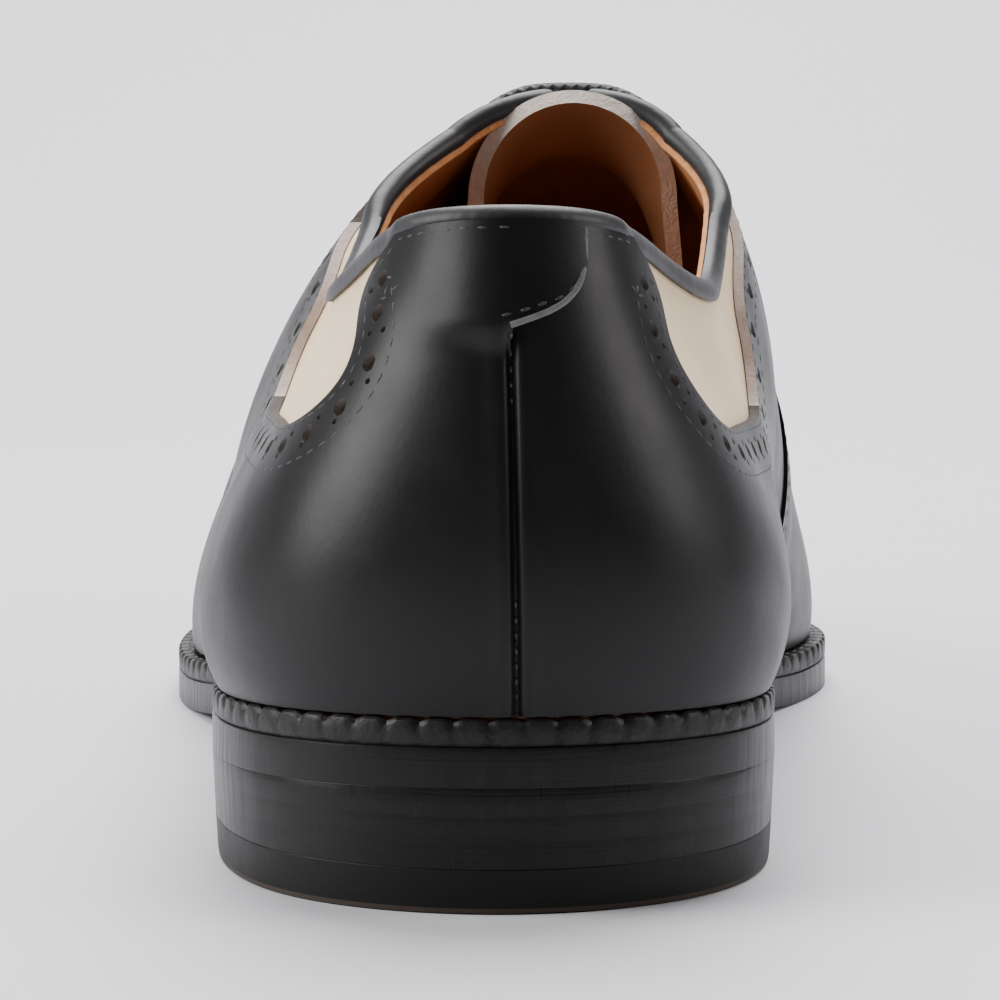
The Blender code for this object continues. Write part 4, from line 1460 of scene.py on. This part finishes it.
bm, lip_length = swept_tube(spaced(rounded_path(lip_line, 3), 0.3), 0.42, 8)
make_piece("tail_edge", bm, [grey_edge], smooth=60.0)
print("tail edge:", round(lip_length, 1), "mm")
make_piece("upper_stitches", stitches, [thread], smooth=70.0)
print("stitches:", sewn)

# %% [markdown]
# The welt is sewn too. Its longer stitches lie flat in the wheeled strip, one for each notch.

# %% Welt stitches
WELT_STITCH_INSET = 1.75
bm = bmesh.new()
stitch_u = np.interp(np.arange(notches) * edge_travel[-1] / notches, edge_travel, fine_u)
spots = sole_edge(stitch_u, WELT_STITCH_INSET)
ways = unit(sole_edge(stitch_u + 0.01) - sole_edge(stitch_u - 0.01))
for spot, way in zip(spots, ways):
    angle = math.atan2(way[1], way[0])
    size = Matrix.Diagonal((1.35 * MM, 0.32 * MM, 0.17 * MM, 1.0))
    height = float(welt_top(spot[1])) - GAP
    place = Matrix.Translation(Vector((spot[0], spot[1], height)) * MM) @ Matrix.Rotation(angle, 4, "Z")
    bmesh.ops.create_uvsphere(bm, u_segments=8, v_segments=4, radius=1.0, matrix=place @ size)
make_piece("welt_stitches", bm, [thread], smooth=70.0)

# %% [markdown]
# ## Floor, light and camera
#
# A pale floor runs up into a pale backdrop. The light is soft and comes from the shoe's outer side
# and from above and beyond it, so the side towards the camera stays dark.

# %% Stage
def plain_finish(name, colour, roughness):
    finish, tree, shader, place = blank_finish(name)
    mottle = node(tree, "ShaderNodeTexNoise", Scale=6.0, Detail=3.0)
    tree.links.new(place.outputs["Object"], mottle.inputs["Vector"])
    darker = tuple(0.96 * part for part in colour)
    tree.links.new(mixed(tree, mottle.outputs["Fac"], darker, colour), shader.inputs["Base Color"])
    shader.inputs["Roughness"].default_value = roughness
    return finish


SWEEP_START = -1.5
SWEEP_BEND = 0.7
SWEEP_RADIUS = 0.9
SWEEP_HALF_WIDTH = 2.0

bm = bmesh.new()
bmesh.ops.create_grid(bm, x_segments=2, y_segments=64, size=0.5)
straight = SWEEP_BEND - SWEEP_START
arc = 0.5 * math.pi * SWEEP_RADIUS
for vert in bm.verts:
    travel = (vert.co.y + 0.5) * (straight + arc + 0.8)
    turn = min(max(travel - straight, 0.0), arc) / SWEEP_RADIUS
    y = SWEEP_START + min(travel, straight) + SWEEP_RADIUS * math.sin(turn)
    z = SWEEP_RADIUS * (1.0 - math.cos(turn)) + max(travel - straight - arc, 0.0)
    vert.co = (vert.co.x * 2.0 * SWEEP_HALF_WIDTH, y, z)
mesh = mesh_of("paper_sweep", bm)
mesh.shade_smooth()
mesh.materials.append(plain_finish("pale_paper", (0.70, 0.70, 0.745), 0.6))
sweep = bpy.data.objects.new("paper_sweep", mesh)
bpy.context.scene.collection.objects.link(sweep)


def soft_light(name, place, target, size, watts, colour):
    lamp = bpy.data.lights.new(name, "AREA")
    lamp.shape = "DISK"
    lamp.size = size
    lamp.energy = watts
    lamp.color = colour
    item = bpy.data.objects.new(name, lamp)
    item.location = place
    item.rotation_euler = (Vector(target) - Vector(place)).to_track_quat("-Z", "Y").to_euler()
    bpy.context.scene.collection.objects.link(item)


soft_light("window_light", (-1.05, -0.12, 0.62), (0.0, 0.0, 0.05), 0.9, 22.0, (1.0, 0.99, 0.97))
soft_light("far_light", (0.10, 0.75, 1.35), (0.0, 0.1, 0.05), 1.3, 54.0, (1.0, 1.0, 1.0))
soft_light("inner_light", (1.05, -0.05, 0.50), (0.0, 0.0, 0.05), 0.6, 6.0, (1.0, 0.97, 0.94))

world = bpy.data.worlds.new("soft_room")
world.use_nodes = True
world.node_tree.nodes["Background"].inputs["Color"].default_value = (0.75, 0.77, 0.85, 1.0)
world.node_tree.nodes["Background"].inputs["Strength"].default_value = 0.12
bpy.context.scene.world = world

# %% Camera
CAMERA_PLACE = Vector((-0.016, -0.460, 0.0879))
CAMERA_YAW = math.radians(2.07)
CAMERA_PITCH = math.radians(-5.16)
view = bpy.data.cameras.new("photo_view")
view.lens = 129.6
view.sensor_width = 36.0
camera = bpy.data.objects.new("photo_view", view)
camera.location = CAMERA_PLACE
ahead = Vector((math.sin(CAMERA_YAW), math.cos(CAMERA_YAW), math.tan(CAMERA_PITCH)))
camera.rotation_euler = ahead.to_track_quat("-Z", "Y").to_euler()
bpy.context.scene.collection.objects.link(camera)
bpy.context.scene.camera = camera
